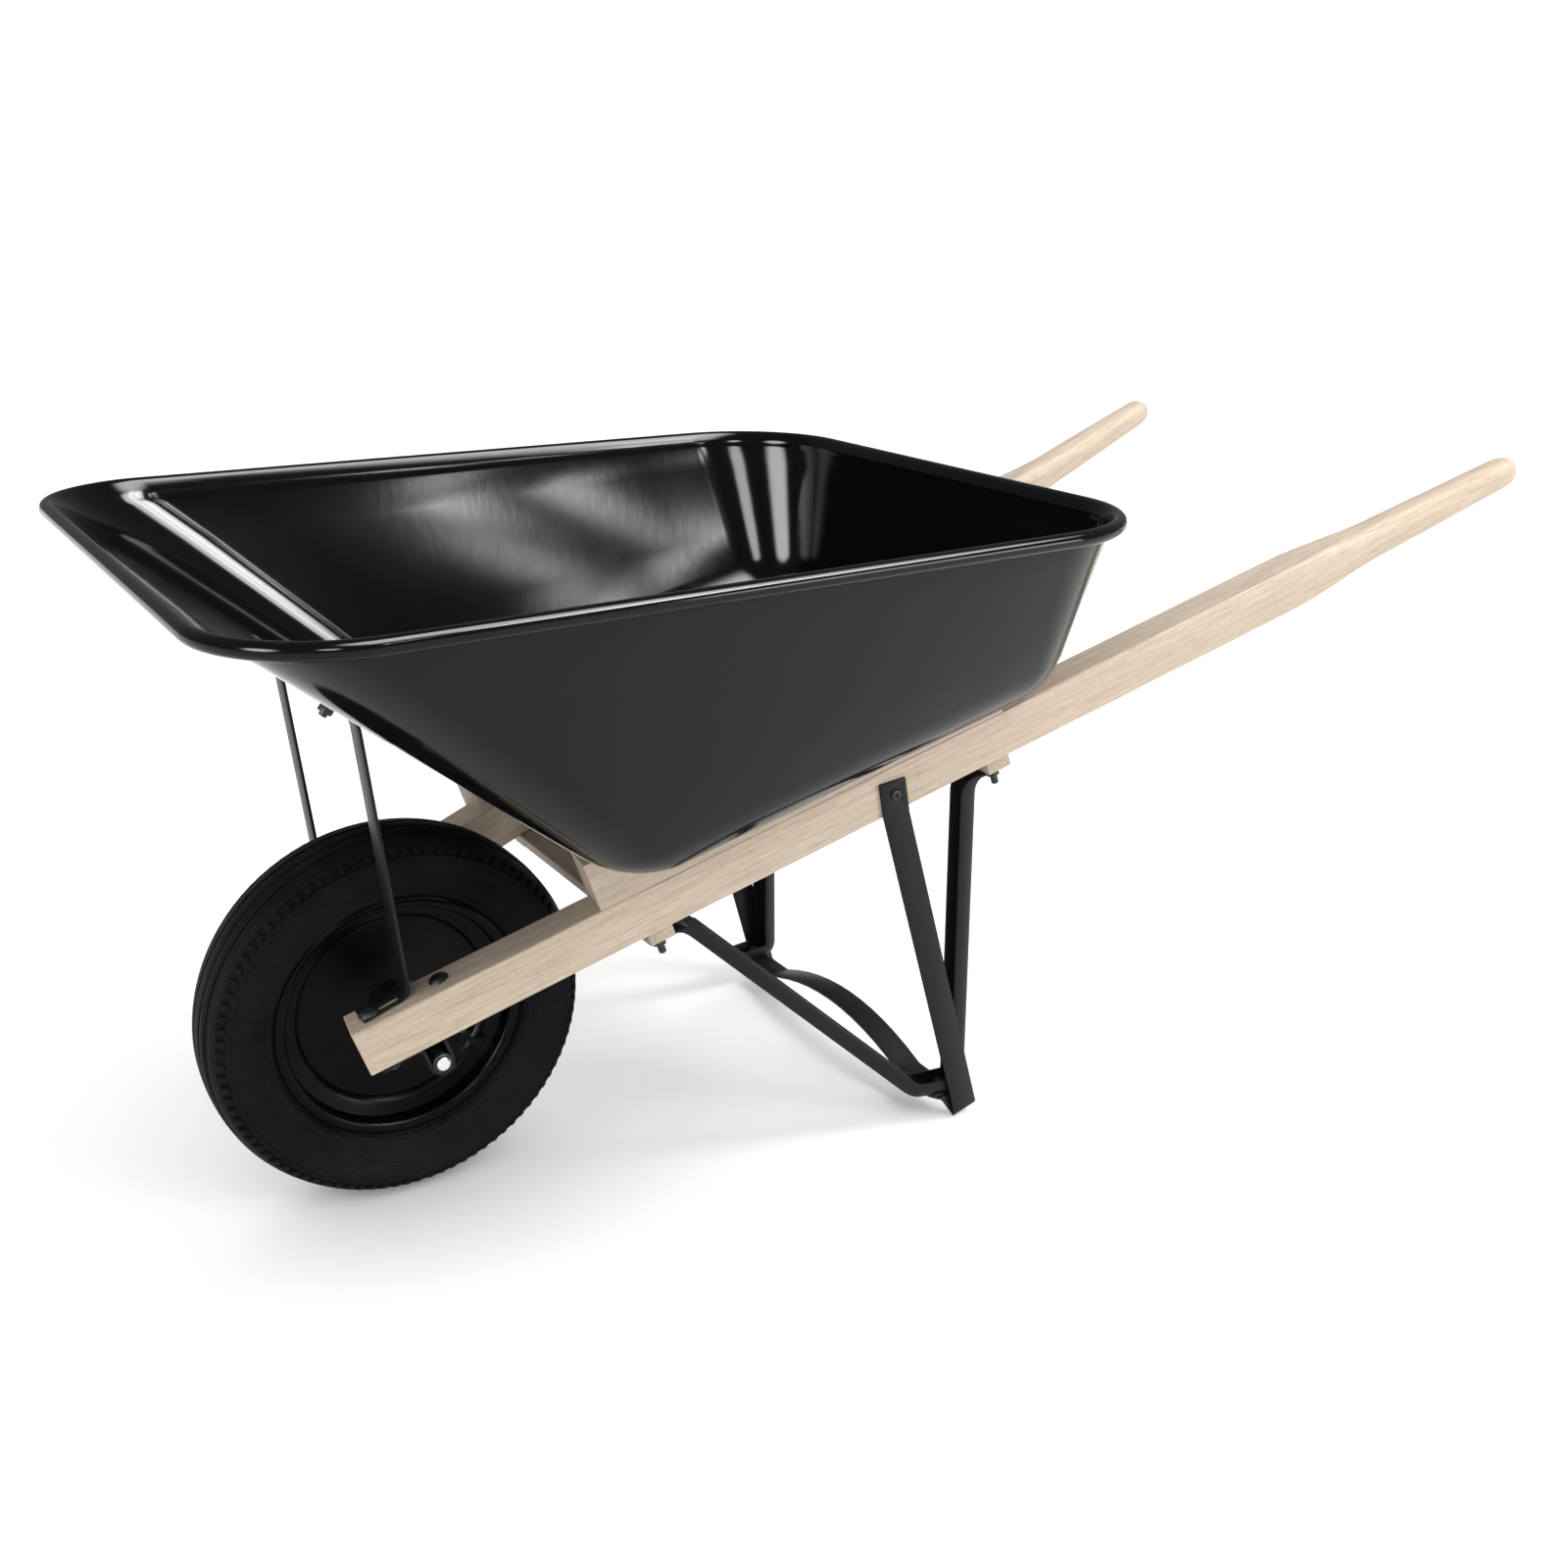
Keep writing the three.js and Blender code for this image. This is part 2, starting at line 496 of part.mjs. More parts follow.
/** Stations of the leg's outer line: [x, z, direction in degrees, how open the channel is]. */
function legStations() {
  const plate = (x) => planePoint(x, 0, plateTop - LEG_SHEET);
  const pitch = THREE.MathUtils.radToDeg(HANDLE_PITCH), armAngle = -43.9;
  const at = (p, angle, open) => [p.x, p.z, angle, open];
  const bottom = LEG_WEB_Z, rearX = 560;
  const armFoot = [481, 47], armTop = [253, 266.5];
  const flatFrom = 512, bend = 17;
  const swing = (from, to, angleFrom, angleTo, steps) => Array.from({ length: steps }, (_, i) => {
    const t = (i + 1) / (steps + 1), a0 = THREE.MathUtils.degToRad(angleFrom), a1 = THREE.MathUtils.degToRad(angleTo);
    const reach = Math.hypot(to[0] - from[0], to[1] - from[1]) * 0.39;
    const c = [from, [from[0] + Math.cos(a0) * reach, from[1] + Math.sin(a0) * reach],
      [to[0] - Math.cos(a1) * reach, to[1] - Math.sin(a1) * reach], to];
    const w = [(1 - t) ** 3, 3 * t * (1 - t) ** 2, 3 * t * t * (1 - t), t ** 3];
    return [0, 1].map((k) => c.reduce((sum, p, j) => sum + p[k] * w[j], 0))
      .concat(angleFrom + (angleTo - angleFrom) * t);
  });
  const frontA = plate(221), frontB = plate(244), rearA = plate(603), rearB = plate(630);
  const rearTop = 372;
  return [
    at(frontA, pitch, 0), at(frontB, pitch, 0),
    ...swing([frontB.x, frontB.z], armTop, pitch, armAngle, 3).map((s, i) => [...s, [0.1, 0.35, 0.7][i]]),
    [...armTop, armAngle, 0.95], [...armFoot, armAngle, 1],
    ...swing(armFoot, [flatFrom, bottom], armAngle, 0, 3).map((s) => [...s, 1]),
    [flatFrom, bottom, 0, 1], [rearX - bend, bottom, 0, 1],
    ...swing([rearX - bend, bottom], [rearX, bottom + bend], 0, 90, 4).map((s) => [...s, 1]),
    [rearX, bottom + bend, 90, 1], [rearX, rearTop - 22, 90, 1], [rearX, rearTop, 90, 1],
    ...swing([rearX, rearTop], [rearA.x, rearA.z], 90, pitch, 4).map((s, i) => [...s, [0.95, 0.8, 0.5, 0.2][i]]),
    at(rearA, pitch, 0), at(rearB, pitch, 0),
  ];
}

function legGeometry() {
  const rings = legStations().map(([x, z, degrees, open]) => {
    const angle = THREE.MathUtils.degToRad(degrees);
    return channelSection(open).map(([side, height]) =>
      legPoint(x - Math.sin(angle) * height, z + Math.cos(angle) * height, side, open));
  });
  const through = ([x, y], low, high) => [BOLT_RADIUS + GAP, planePoint(x, y, low), planePoint(x, y, high)];
  return drilled(loft(rings), [
    through(FRONT_BOLT, plateTop - 12, plateTop + 6), through(REAR_BOLT, plateTop - 12, plateTop + 6),
    [BOLT_RADIUS + GAP, vec(LEG_BOLT_X, LEG_BOLT_Y, LEG_WEB_Z - 8), vec(LEG_BOLT_X, LEG_BOLT_Y, LEG_WEB_Z + 9)],
  ]);
}

/** Arched strap that ties the two legs together at the bottom. */
function legBraceGeometry() {
  const z = LEG_WEB_Z - GAP - STRAP_THICK / 2, flat = 137, tip = 207;
  const line = [[-tip, z], [-flat - 4, z]];
  for (let i = 0; i <= 12; i++) {
    const y = flat * (i / 6 - 1);
    line.push([y, z + 1 + BRACE_RISE * (1 - (y / flat) ** 2)]);
  }
  line.push([flat + 4, z], [tip, z]);
  const strap = prism(stripOutline(line, STRAP_THICK), (y, height, end) =>
    vec(LEG_BOLT_X + (end - 0.5) * (STRAP_WIDTH + 1), y, height));
  return drilled(strap, [1, -1].map((side) =>
    [BOLT_RADIUS + GAP, vec(LEG_BOLT_X, side * LEG_BOLT_Y, z - 9), vec(LEG_BOLT_X, side * LEG_BOLT_Y, z + 9)]));
}

/** Strap from the handle's outer face down to the ground and folded back up under the leg. */
function footStrapGeometry() {
  const half = STRAP_WIDTH / 2, t = STRAP_THICK, out = -GAP - t / 2;
  const faceOut = vec(0, -1, 0).applyQuaternion(new THREE.Quaternion().setFromRotationMatrix(lineMatrix));
  const lean = THREE.MathUtils.degToRad(15.5);
  const across = vec(Math.cos(lean), 0, Math.sin(lean));
  const top = linePoint(564.5, out, 35), edge = linePoint(559, out, -2);
  const onFace = linePoint(35, 0, -5.5).sub(linePoint(0, 0, 0)).normalize();
  const foldOut = vec(558, -213.5, 8.5), foldLow = vec(557.6, -211.8, 5.6), foldIn = vec(556.5, -208.5, 8.5);
  const endZ = LEG_WEB_Z - 2 * GAP - 1.5 * t;
  const bendIn = vec(543, -206.5, endZ), bolt = vec(LEG_BOLT_X, LEG_BOLT_Y, endZ), end = vec(LEG_BOLT_X - 4, -182, endZ);
  const flatAcross = vec(0.97, 0.24, 0).normalize();
  const rows = [
    [top, onFace, faceOut], [edge, onFace, faceOut], [foldOut, across, faceOut],
    [foldLow, across, vec(Math.sin(lean), 0, -Math.cos(lean))],
    [foldIn, across, vec(-0.2, 0.75, -0.63)], [bendIn, flatAcross, vec(0, 0, -1)],
    [bolt, flatAcross, vec(0, 0, -1)], [end, flatAcross, vec(0, 0, -1)],
  ];
  const rings = rows.map(([centre, wide, outward]) => {
    const thick = outward.clone().addScaledVector(wide, -outward.dot(wide)).normalize();
    return [[-1, -1], [1, -1], [1, 1], [-1, 1]].map(([a, b]) =>
      centre.clone().addScaledVector(wide, a * half).addScaledVector(thick, b * t / 2));
  });
  return drilled(loft(rings), [
    [SCREW.radius + GAP, linePoint(SCREW.x, -8, SCREW.z), linePoint(SCREW.x, 8, SCREW.z)],
    [BOLT_RADIUS + GAP, vec(LEG_BOLT_X, LEG_BOLT_Y, endZ - 8), vec(LEG_BOLT_X, LEG_BOLT_Y, endZ + 8)],
  ]);
}

// ---------------------------------------------------------------- fasteners
/** Round-headed carriage bolt with its head at the start point, shank towards the end point. */
function carriageBolt(head, tip) {
  const r = BOLT_RADIUS, h = BOLT_HEAD_RADIUS, length = head.distanceTo(tip);
  return turned([[0, -4.5], [h * 0.6, -3.6], [h, -0.6], [h, 0], [r, 0], [r, length - 1], [r - 1, length],
    [0, length]], head, tip, 10);
}

/** Hexagon nut centred on a bolt, its seat at the start point. */
function nut(seat, towards) {
  const corner = NUT_FLATS / Math.sqrt(3), bore = BOLT_RADIUS + GAP;
  const profile = new THREE.Shape(arc(0, 0, corner, 0, 300, 5).map(([x, y]) => new THREE.Vector2(x, y)));
  profile.holes.push(new THREE.Path(arc(0, 0, bore, 0, 324, 9).map(([x, y]) => new THREE.Vector2(x, y))));
  const geometry = new THREE.ExtrudeGeometry(profile, { depth: NUT_HEIGHT, bevelEnabled: false, curveSegments: 12 });
  const axis = towards.clone().sub(seat).normalize();
  geometry.applyQuaternion(new THREE.Quaternion().setFromUnitVectors(vec(0, 0, 1), axis));
  return welded(geometry.translate(seat.x, seat.y, seat.z));
}

/** Cross-recess pan screw that holds the foot strap to the handle. */
function strapScrew() {
  const head = linePoint(SCREW.x, -STRAP_THICK - 2 * GAP, SCREW.z);
  const tip = linePoint(SCREW.x, SCREW.length, SCREW.z);
  const length = head.distanceTo(tip), r = SCREW.radius;
  const body = turned([[0, -2.6], [3.6, -2.5], [5.4, -1.5], [5.8, 0], [r, 0], [r, length - 3], [0, length]], head, tip, 10);
  const outward = head.clone().sub(tip).normalize();
  const centre = head.clone().addScaledVector(outward, 2);
  const turn = new THREE.Quaternion().setFromUnitVectors(vec(0, 1, 0), outward);
  let solid = toSolid(body);
  for (const [w, d] of [[5, 1.1], [1.1, 5]]) {
    const slot = new THREE.BoxGeometry(w, 2.6, d).applyQuaternion(turn).translate(centre.x, centre.y, centre.z);
    solid = solid.subtract(toSolid(slot));
  }
  return fromSolid(solid);
}

// ---------------------------------------------------------------- wheel
const axleCentre = vec(0, 0, WHEEL_RADIUS);
const alongAxle = (y) => vec(0, y, WHEEL_RADIUS);
/** Ring or disc about the axle from a closed profile of [radius, y]. */
function wheelRing(profile, segments) {
  return turned([...profile, profile[0]], axleCentre, alongAxle(1), segments);
}
const mirrorProfile = (profile) => profile.map(([r, y]) => [r, -y]).reverse();

function tyreGeometry() {
  const lip = RIM_LIP_RADIUS, seat = RIM_BARREL_RADIUS + SHEET_RIM + GAP;
  const outside = [[seat, 24.6], [119.8, 27.5], [lip + 0.7, 27.9], [131, 37], [150, 43.5], [164, TYRE_HALF_WIDTH],
    [176, 43.6], [184.4, 36.2], [187.9, 23.5], [185.3, 22], [188.8, 18.4], [189.5, 10.4], [186.6, 8.5],
    [WHEEL_RADIUS, 6]];
  const cavity = [[181, 9], [175, 31], [160, 38], [135, 28], [seat, 14.5]];
  return wheelRing([...outside, ...mirrorProfile([...cavity, ...outside]), ...cavity], WHEEL_SEGMENTS);
}

function innerTubeGeometry() {
  const half = [[119, 9], [136, 26], [158, 36], [172.5, 30], [179, 9]];
  return wheelRing([...half, ...mirrorProfile(half)], WHEEL_SEGMENTS);
}

/** Point of the wheel's left side at the valve: distance from the axle and from the mid-plane. */
const atValve = (radius, y) =>
  vec(radius * Math.cos(VALVE_ANGLE), y, WHEEL_RADIUS + radius * Math.sin(VALVE_ANGLE));

const valveFoot = atValve(115.4, -2.8), valveTip = atValve(87, -26.3);

/** Pressed half of the wheel, left side: hub seat, dished disc, step, barrel and flange. */
function rimHalfGeometry(side) {
  const bore = HUB_RADIUS + GAP, ring = DISC_RING_RADIUS, barrel = RIM_BARREL_RADIUS, t = SHEET_RIM;
  const lip = RIM_LIP_Y, lipRadius = RIM_LIP_RADIUS;
  const face = [[bore, -15], [22, -15], [30, -10.5], [ring - 4, -2.4], [ring, -8], [barrel - 2, -12.6],
    [barrel, -15], [barrel, 3.5 - lip], [lipRadius - 6, -lip], [lipRadius - 0.5, 0.5 - lip]];
  const back = [[lipRadius - 0.7, 2.4 - lip], [lipRadius - 5.6, 2.1 - lip], [barrel + t, 4.7 - lip],
    [barrel + t, -14.2], [barrel - 1.8, -10.4], [ring + 1.4, -6.2], [ring - 3.2, -0.2],
    [30, -8.5], [22.3, -13], [bore, -13]];
  const half = [...face, ...back];
  const ringed = wheelRing(side < 0 ? half : mirrorProfile(half), WHEEL_SEGMENTS);
  return side < 0 ? drilled(ringed, [[VALVE_RADIUS + 0.8, valveFoot, valveTip]]) : ringed;
}

/** Tube between two radii and two positions along the axle. */
const axleTube = (inner, outer, from, to, segments = 16) =>
  wheelRing([[inner, from], [outer, from], [outer, to], [inner, to]], segments);

/** Flanged bush that carries the hub on the axle, left side. */
function bushGeometry() {
  const bore = AXLE_RADIUS + 2 * GAP, body = HUB_BORE - GAP, edge = -HUB_HALF_LENGTH - GAP;
  return wheelRing([[bore, edge - BUSH_FLANGE], [HUB_RADIUS, edge - BUSH_FLANGE], [HUB_RADIUS, edge],
    [body, edge], [body, edge + 14], [bore, edge + 14]], 16);
}

function axleGeometry() {
  const length = 2 * AXLE_HALF_LENGTH, r = AXLE_RADIUS;
  return turned([[0, 0], [r - 1.5, 0], [r, 1.5], [r, length - 1.5], [r - 1.5, length], [0, length]],
    alongAxle(-AXLE_HALF_LENGTH), alongAxle(AXLE_HALF_LENGTH), 16);
}

// ---------------------------------------------------------------- assembly
const mesh = (name, geometry, look) => {
  const piece = new THREE.Mesh(geometry, look);
  piece.name = name;
  return piece;
};

const framed = (matrix, ...meshes) => {
  const group = new THREE.Group();
  group.applyMatrix4(matrix);
  group.add(...meshes);
  return group;
};

/** Pieces that come once on each side, modelled on the left and mirrored to the right. */
const sidePieces = {
  line: {
    handle: [drilledHandle(), wood],
    wedge: [wedgeGeometry(), woodShade],
  },
  plane: { axle_bracket: [bracketGeometry(), frameEnamel] },
  world: {
    nose_brace: [noseBraceGeometry(), frameEnamel],
    leg: [legGeometry(), frameEnamel],
    foot_strap: [footStrapGeometry(), frameEnamel],
    strap_screw: [strapScrew(), blackBolt],
    axle_spacer: [axleTube(AXLE_RADIUS + GAP, SPACER_RADIUS, -AXLE_HALF_LENGTH + 4,
      -HUB_HALF_LENGTH - BUSH_FLANGE - 2 * GAP - 0.6, 16), blackBolt],
    ...fasteners(),
  },
};

/** Bolts and nuts of one side, each as its own piece. */
function fasteners() {
  const pieces = {};
  const add = (name, head, tip, seat) => {
    pieces[`${name}_bolt`] = [carriageBolt(head, tip), blackBolt];
    pieces[`${name}_nut`] = [nut(seat, tip), blackBolt];
  };
  const square = ([x, y], z) => planePoint(x, y, z);
  const strapTop = handleTop + 2 * GAP + STRAP_THICK;
  const ear = HANDLE_OVER_AXLE - 2 * GAP - STRAP_THICK;
  const overhang = NUT_HEIGHT + 3.5, longEnd = NUT_HEIGHT + 11;
  const legSeat = plateTop - LEG_SHEET - GAP;
  const [front, rear] = BRACKET_BOLTS;
  add('bracket_front', square(front, strapTop), square(front, ear - overhang), square(front, ear));
  add('bracket_rear', square(rear, handleTop + GAP), square(rear, ear - overhang), square(rear, ear));
  // The heads stand square to the handles, so they clear the sloping floor by a little more.
  for (const [name, at, clear] of [['leg_front', FRONT_BOLT, 3.6], ['leg_rear', REAR_BOLT, 1.6]]) {
    const onFloor = floorAbovePlane(at[0]) + TRAY_SHEET + clear;
    add(name, square(at, onFloor), square(at, legSeat - longEnd), square(at, legSeat));
  }
  const throughNose = TRAY_SHEET + 0.2, underNose = -(STRAP_THICK + 2 * GAP);
  add('nose', noseBoltPoint(throughNose), noseBoltPoint(underNose - overhang), noseBoltPoint(underNose));
  const foot = (z) => vec(LEG_BOLT_X, LEG_BOLT_Y, z);
  const under = LEG_WEB_Z - 3 * GAP - 2 * STRAP_THICK, above = LEG_WEB_Z + LEG_SHEET + GAP;
  add('foot', foot(under), foot(above + NUT_HEIGHT + 2), foot(above));
  return pieces;
}

function sideGroup(suffix) {
  const build = (pieces) => Object.entries(pieces).map(([name, [geometry, look]]) =>
    mesh(`${name}_${suffix}`, geometry, look()));
  const group = new THREE.Group();
  group.add(framed(lineMatrix, ...build(sidePieces.line)), framed(planeMatrix, ...build(sidePieces.plane)),
    ...build(sidePieces.world));
  return group;
}

const leftSide = sideGroup('left');
const rightSide = sideGroup('right');
rightSide.scale.set(1, -1, 1);

const crosspieces = framed(planeMatrix,
  mesh('crosspiece_front', crosspieceGeometry(CROSSPIECE_FRONT_X), woodShade()),
  mesh('crosspiece_rear', crosspieceGeometry(CROSSPIECE_REAR_X), woodShade()));

const wheel = new THREE.Group();
const rightBush = mesh('bush_right', bushGeometry(), blackBolt());
rightBush.scale.set(1, -1, 1);
wheel.add(
  mesh('tyre', tyreGeometry(), rubber()),
  mesh('inner_tube', innerTubeGeometry(), rubber()),
  mesh('rim_half_left', rimHalfGeometry(-1), rimEnamel()),
  mesh('rim_half_right', rimHalfGeometry(1), rimEnamel()),
  mesh('hub_tube', axleTube(HUB_BORE, HUB_RADIUS, -HUB_HALF_LENGTH, HUB_HALF_LENGTH), rimEnamel()),
  mesh('bush_left', bushGeometry(), blackBolt()), rightBush,
  mesh('valve_stem', rod(VALVE_RADIUS, valveFoot, valveTip, 12), rubber()),
  mesh('valve_cap', valveCapGeometry(valveFoot, valveTip), rubber()));

/** Screw cap over the end of the valve, a little in front of the stem. */
function valveCapGeometry(foot, tip) {
  const along = tip.clone().sub(foot).normalize();
  return turned([[0, 0], [3.6, 0], [3.6, 7], [2.4, 8.6], [0, 8.6]], tip.clone().addScaledVector(along, GAP),
    tip.clone().addScaledVector(along, 10), 12);
}

const wheelbarrow = new THREE.Group();
wheelbarrow.add(mesh('tray', trayGeometry(), trayEnamel()), crosspieces,
  mesh('leg_brace', legBraceGeometry(), frameEnamel()), mesh('axle', axleGeometry(), zinc()),
  wheel, leftSide, rightSide);

// The object's origin is under the middle of its bounding box, on the ground.
wheelbarrow.updateMatrixWorld(true);
const box = new THREE.Box3().setFromObject(wheelbarrow, true);
wheelbarrow.position.set(-(box.min.x + box.max.x) / 2, -(box.min.y + box.max.y) / 2, -box.min.z);

export default wheelbarrow;
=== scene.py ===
"""Garden wheelbarrow: enamelled steel tray, two wooden handles, one pneumatic wheel, strap-steel legs."""
import json
import math

import bmesh
import bpy
from mathutils import Matrix, Vector


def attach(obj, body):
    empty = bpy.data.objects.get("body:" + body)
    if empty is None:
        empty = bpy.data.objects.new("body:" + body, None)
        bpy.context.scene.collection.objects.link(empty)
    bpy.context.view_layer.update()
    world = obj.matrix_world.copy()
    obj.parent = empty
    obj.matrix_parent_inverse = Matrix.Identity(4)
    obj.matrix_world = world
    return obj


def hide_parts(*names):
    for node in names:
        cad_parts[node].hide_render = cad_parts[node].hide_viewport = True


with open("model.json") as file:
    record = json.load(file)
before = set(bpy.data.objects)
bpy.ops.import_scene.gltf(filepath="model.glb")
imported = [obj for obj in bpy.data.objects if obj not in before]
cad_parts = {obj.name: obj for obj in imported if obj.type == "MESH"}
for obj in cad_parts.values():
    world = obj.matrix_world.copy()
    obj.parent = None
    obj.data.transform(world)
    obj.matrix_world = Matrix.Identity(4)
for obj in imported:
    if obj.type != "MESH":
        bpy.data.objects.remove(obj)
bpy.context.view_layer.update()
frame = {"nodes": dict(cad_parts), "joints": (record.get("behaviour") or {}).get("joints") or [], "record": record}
record = frame["record"]
cad = frame["nodes"]

SIDES = (("left", -1), ("right", 1))
MM = 0.001
WELD = 1e-6                                      # points closer than this are one
AXLE = Vector(frame["joints"][0]["pos_m"])       # centre of the wheel
BODY_OF = {node: body for body, members in record["behaviour"]["bodies"].items() for node in members}
SLOT_OF = {part["node"]: part["material_slot"] for part in record["subparts"]}

# ------------------------------------------------------------------ driving dimensions, in metres
HANDLE_PITCH = math.radians(18.5)                # rise of the plane that both handles lie in
HANDLE_SPLAY = math.radians(7.46)                # spread of each handle in that plane
HANDLE_WIDTH = 0.0396
HANDLE_HEIGHT = 0.0482
HANDLE_LENGTH = 1.391
HANDLE_CORNER = (-0.062, 0.136, 0.0255)          # front outer lower corner, from the axle, in that plane
HANDLE_EDGE = 0.0022                             # how far its long edges are eased
GRIP_START = 1.058                               # where the square section begins to turn round
GRIP_ROUND = 1.200                               # where it has become round
GRIP_LIFT = 0.003                                # how far its end lies above the handle's own line

SHEET = 0.0014                                   # thickness of the tray
BEAD = 0.0075                                    # outer radius of the rim's roll
RIM_Z = 0.6609                                   # height of the roll's centre
# Outlines of the tray at its rim and where its walls would meet its floor, measured from the axle.
TRAY_RIM = dict(front=-0.2104, rear=0.6656, half_front=0.384, half_rear=0.353, r_front=0.109, r_rear=0.127)
TRAY_FOOT = dict(front=0.149, rear=0.622, half_front=0.275, half_rear=0.259, r_front=0.046, r_rear=0.052)
TRAY_BEND = 0.058                                # how far the bend reaches into the wall and the floor
# Shares of the way up the wall, and how far the sheet lies inside a straight line there.
WALL_STEPS = ((0.25, 0), (0.5, 0), (0.75, 0), (0.91, 0), (0.93, 0.0004), (0.95, 0.0011), (0.97, 0.0009))
FLOOR_AT = (0.1394, 0.3697)                      # a point under the floor: distance from the axle, height
FLOOR_SLOPE = 0.217

LUGS = 92                                        # blocks on each shoulder of the tyre
LUG_SIZE = (0.0056, 0.0098, 0.0072)              # out of the shoulder, across it and along it
LUG_AT = (0.1778, 0.0390)                        # middle of a block: radius, distance from the wheel's middle
LUG_TILT = math.radians(46)
LUG_EDGE = 0.0018
MOULD_RING = 0.0021                              # spacing of the fine rings on the tyre's side walls
GROWTH_RING = 0.0042                             # spacing of the timber's growth rings

AMBIENT = 1.30                                   # brightness of the white surroundings
REFLECTED = 0.22                                 # the same surroundings as gloss shows them
# Soft lights that only gloss shows: direction, degrees from their middle to where they end and begin
# to fade, and strength.
SOFTBOXES = (
    ((0.46, -0.63, 0.63), 6.5, 3, 60), ((0.55, -0.51, 0.66), 8, 4, 50), ((0.64, -0.37, 0.67), 7, 2, 25),
    ((0.25, -0.38, 0.89), 24, 10, 30),
    ((0.255, -0.850, 0.460), 2.1, 0.8, 46), ((0.328, -0.812, 0.490), 2.0, 0.6, 40),
    ((0.270, -0.875, 0.405), 1.8, 0.6, 24), ((-0.35, -0.80, 0.48), 9, 4, 28),
    ((-0.90, -0.25, 0.33), 15, 6, 32),
)


# ------------------------------------------------------------------ placing finished pieces
def seat(piece, node, finish):
    """The piece stands for a node of the frame, moves with its body and takes its finish."""
    piece.data.materials.clear()
    piece.data.materials.append(finish)
    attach(piece, BODY_OF[node])
    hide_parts(node)
    return piece


def piece_from(bm, name, smooth_angle=32):
    """Turns a finished bmesh into an object with smooth faces and sharp corners."""
    mesh = bpy.data.meshes.new(name)
    bm.to_mesh(mesh)
    bm.free()
    mesh.shade_smooth()
    mesh.set_sharp_from_angle(angle=math.radians(smooth_angle))
    piece = bpy.data.objects.new(name, mesh)
    bpy.context.scene.collection.objects.link(piece)
    return piece


def ease_edges(bm, width):
    """Rounds every edge that turns by more than the least angle."""
    least = math.radians(28)
    sharp = [e for e in bm.edges if len(e.link_faces) == 2 and e.calc_face_angle(0) > least]
    bmesh.ops.bevel(bm, geom=sharp, offset=width, segments=2, profile=0.5, affect="EDGES",
                    clamp_overlap=True, material=-1)


def eased_copy(node, finish, width):
    """A copy of a frame node with its triangles joined to whole faces and its edges eased."""
    bm = bmesh.new()
    bm.from_mesh(cad[node].data)
    bmesh.ops.remove_doubles(bm, verts=bm.verts, dist=WELD)
    bmesh.ops.dissolve_limit(bm, angle_limit=math.radians(0.6), verts=bm.verts, edges=bm.edges)
    ease_edges(bm, width)
    return seat(piece_from(bm, node + "_finished"), node, finish)


def skin(rings, closed_start=False, closed_end=False):
    """A sheet drawn through rings with the same number of points."""
    bm = bmesh.new()
    first = bmesh.ops.create_circle(bm, segments=len(rings[0]), radius=1)["verts"]
    for vert, place in zip(first, rings[0]):
        vert.co = place
    current, loops = list(first), [list(first)]
    for ring in rings[1:]:
        edges = [bm.edges.get((a, b)) for a, b in zip(current, current[1:] + current[:1])]
        made = bmesh.ops.extrude_edge_only(bm, edges=edges)["geom"]
        fresh = {v for v in made if isinstance(v, bmesh.types.BMVert)}
        current = [next(e.other_vert(v) for e in v.link_edges if e.other_vert(v) in fresh) for v in current]
        for vert, place in zip(current, ring):
            vert.co = place
        loops.append(current)
    for wanted, loop in ((closed_start, loops[0]), (closed_end, loops[-1])):
        if wanted:
            bm.faces.new(loop)
    bmesh.ops.recalc_face_normals(bm, faces=bm.faces)
    return bm


def behind_axle(radius, y):
    """The point of a ring about the axle that lies straight behind it."""
    return AXLE + Vector((radius, y, 0))


def spun(profile, steps):
    """A ring about the axle from a closed profile of (radius, y) in millimetres."""
    bm = bmesh.new()
    verts = [bm.verts.new(behind_axle(r * MM, y * MM)) for r, y in profile]
    edges = [bm.edges.new(pair) for pair in zip(verts, verts[1:] + verts[:1])]
    bmesh.ops.spin(bm, geom=verts + edges, cent=AXLE, axis=(0, 1, 0), angle=math.tau, steps=steps,
                   use_merge=True, use_duplicate=False)
    bmesh.ops.remove_doubles(bm, verts=bm.verts, dist=WELD)
    bmesh.ops.recalc_face_normals(bm, faces=bm.faces)
    return bm


# ------------------------------------------------------------------ handles
def handle_plane():
    """From the plane both handles lie in, with its origin on the axle, to the frame."""
    return Matrix.Translation(AXLE) @ Matrix.Rotation(-HANDLE_PITCH, 4, "Y")


def handle_line(side):
    """From a handle's own line, X along it, Y across towards +Y and Z up, to the frame."""
    x, y, z = HANDLE_CORNER
    turn = Matrix.Rotation(side * HANDLE_SPLAY, 4, "Z")
    return handle_plane() @ Matrix.Translation((x, side * y, z)) @ turn


def rounded_section(x, centre_y, centre_z, half_y, half_z, radius):
    """Points of an upright rounded rectangle."""
    ring, steps = [], 6
    for quarter, (sy, sz) in enumerate(((1, 1), (-1, 1), (-1, -1), (1, -1))):
        for k in range(steps + 1):
            angle = math.radians(90 * (quarter + k / steps))
            ring.append(Vector((x, centre_y + sy * (half_y - radius) + radius * math.cos(angle),
                                centre_z + sz * (half_z - radius) + radius * math.sin(angle))))
    return ring


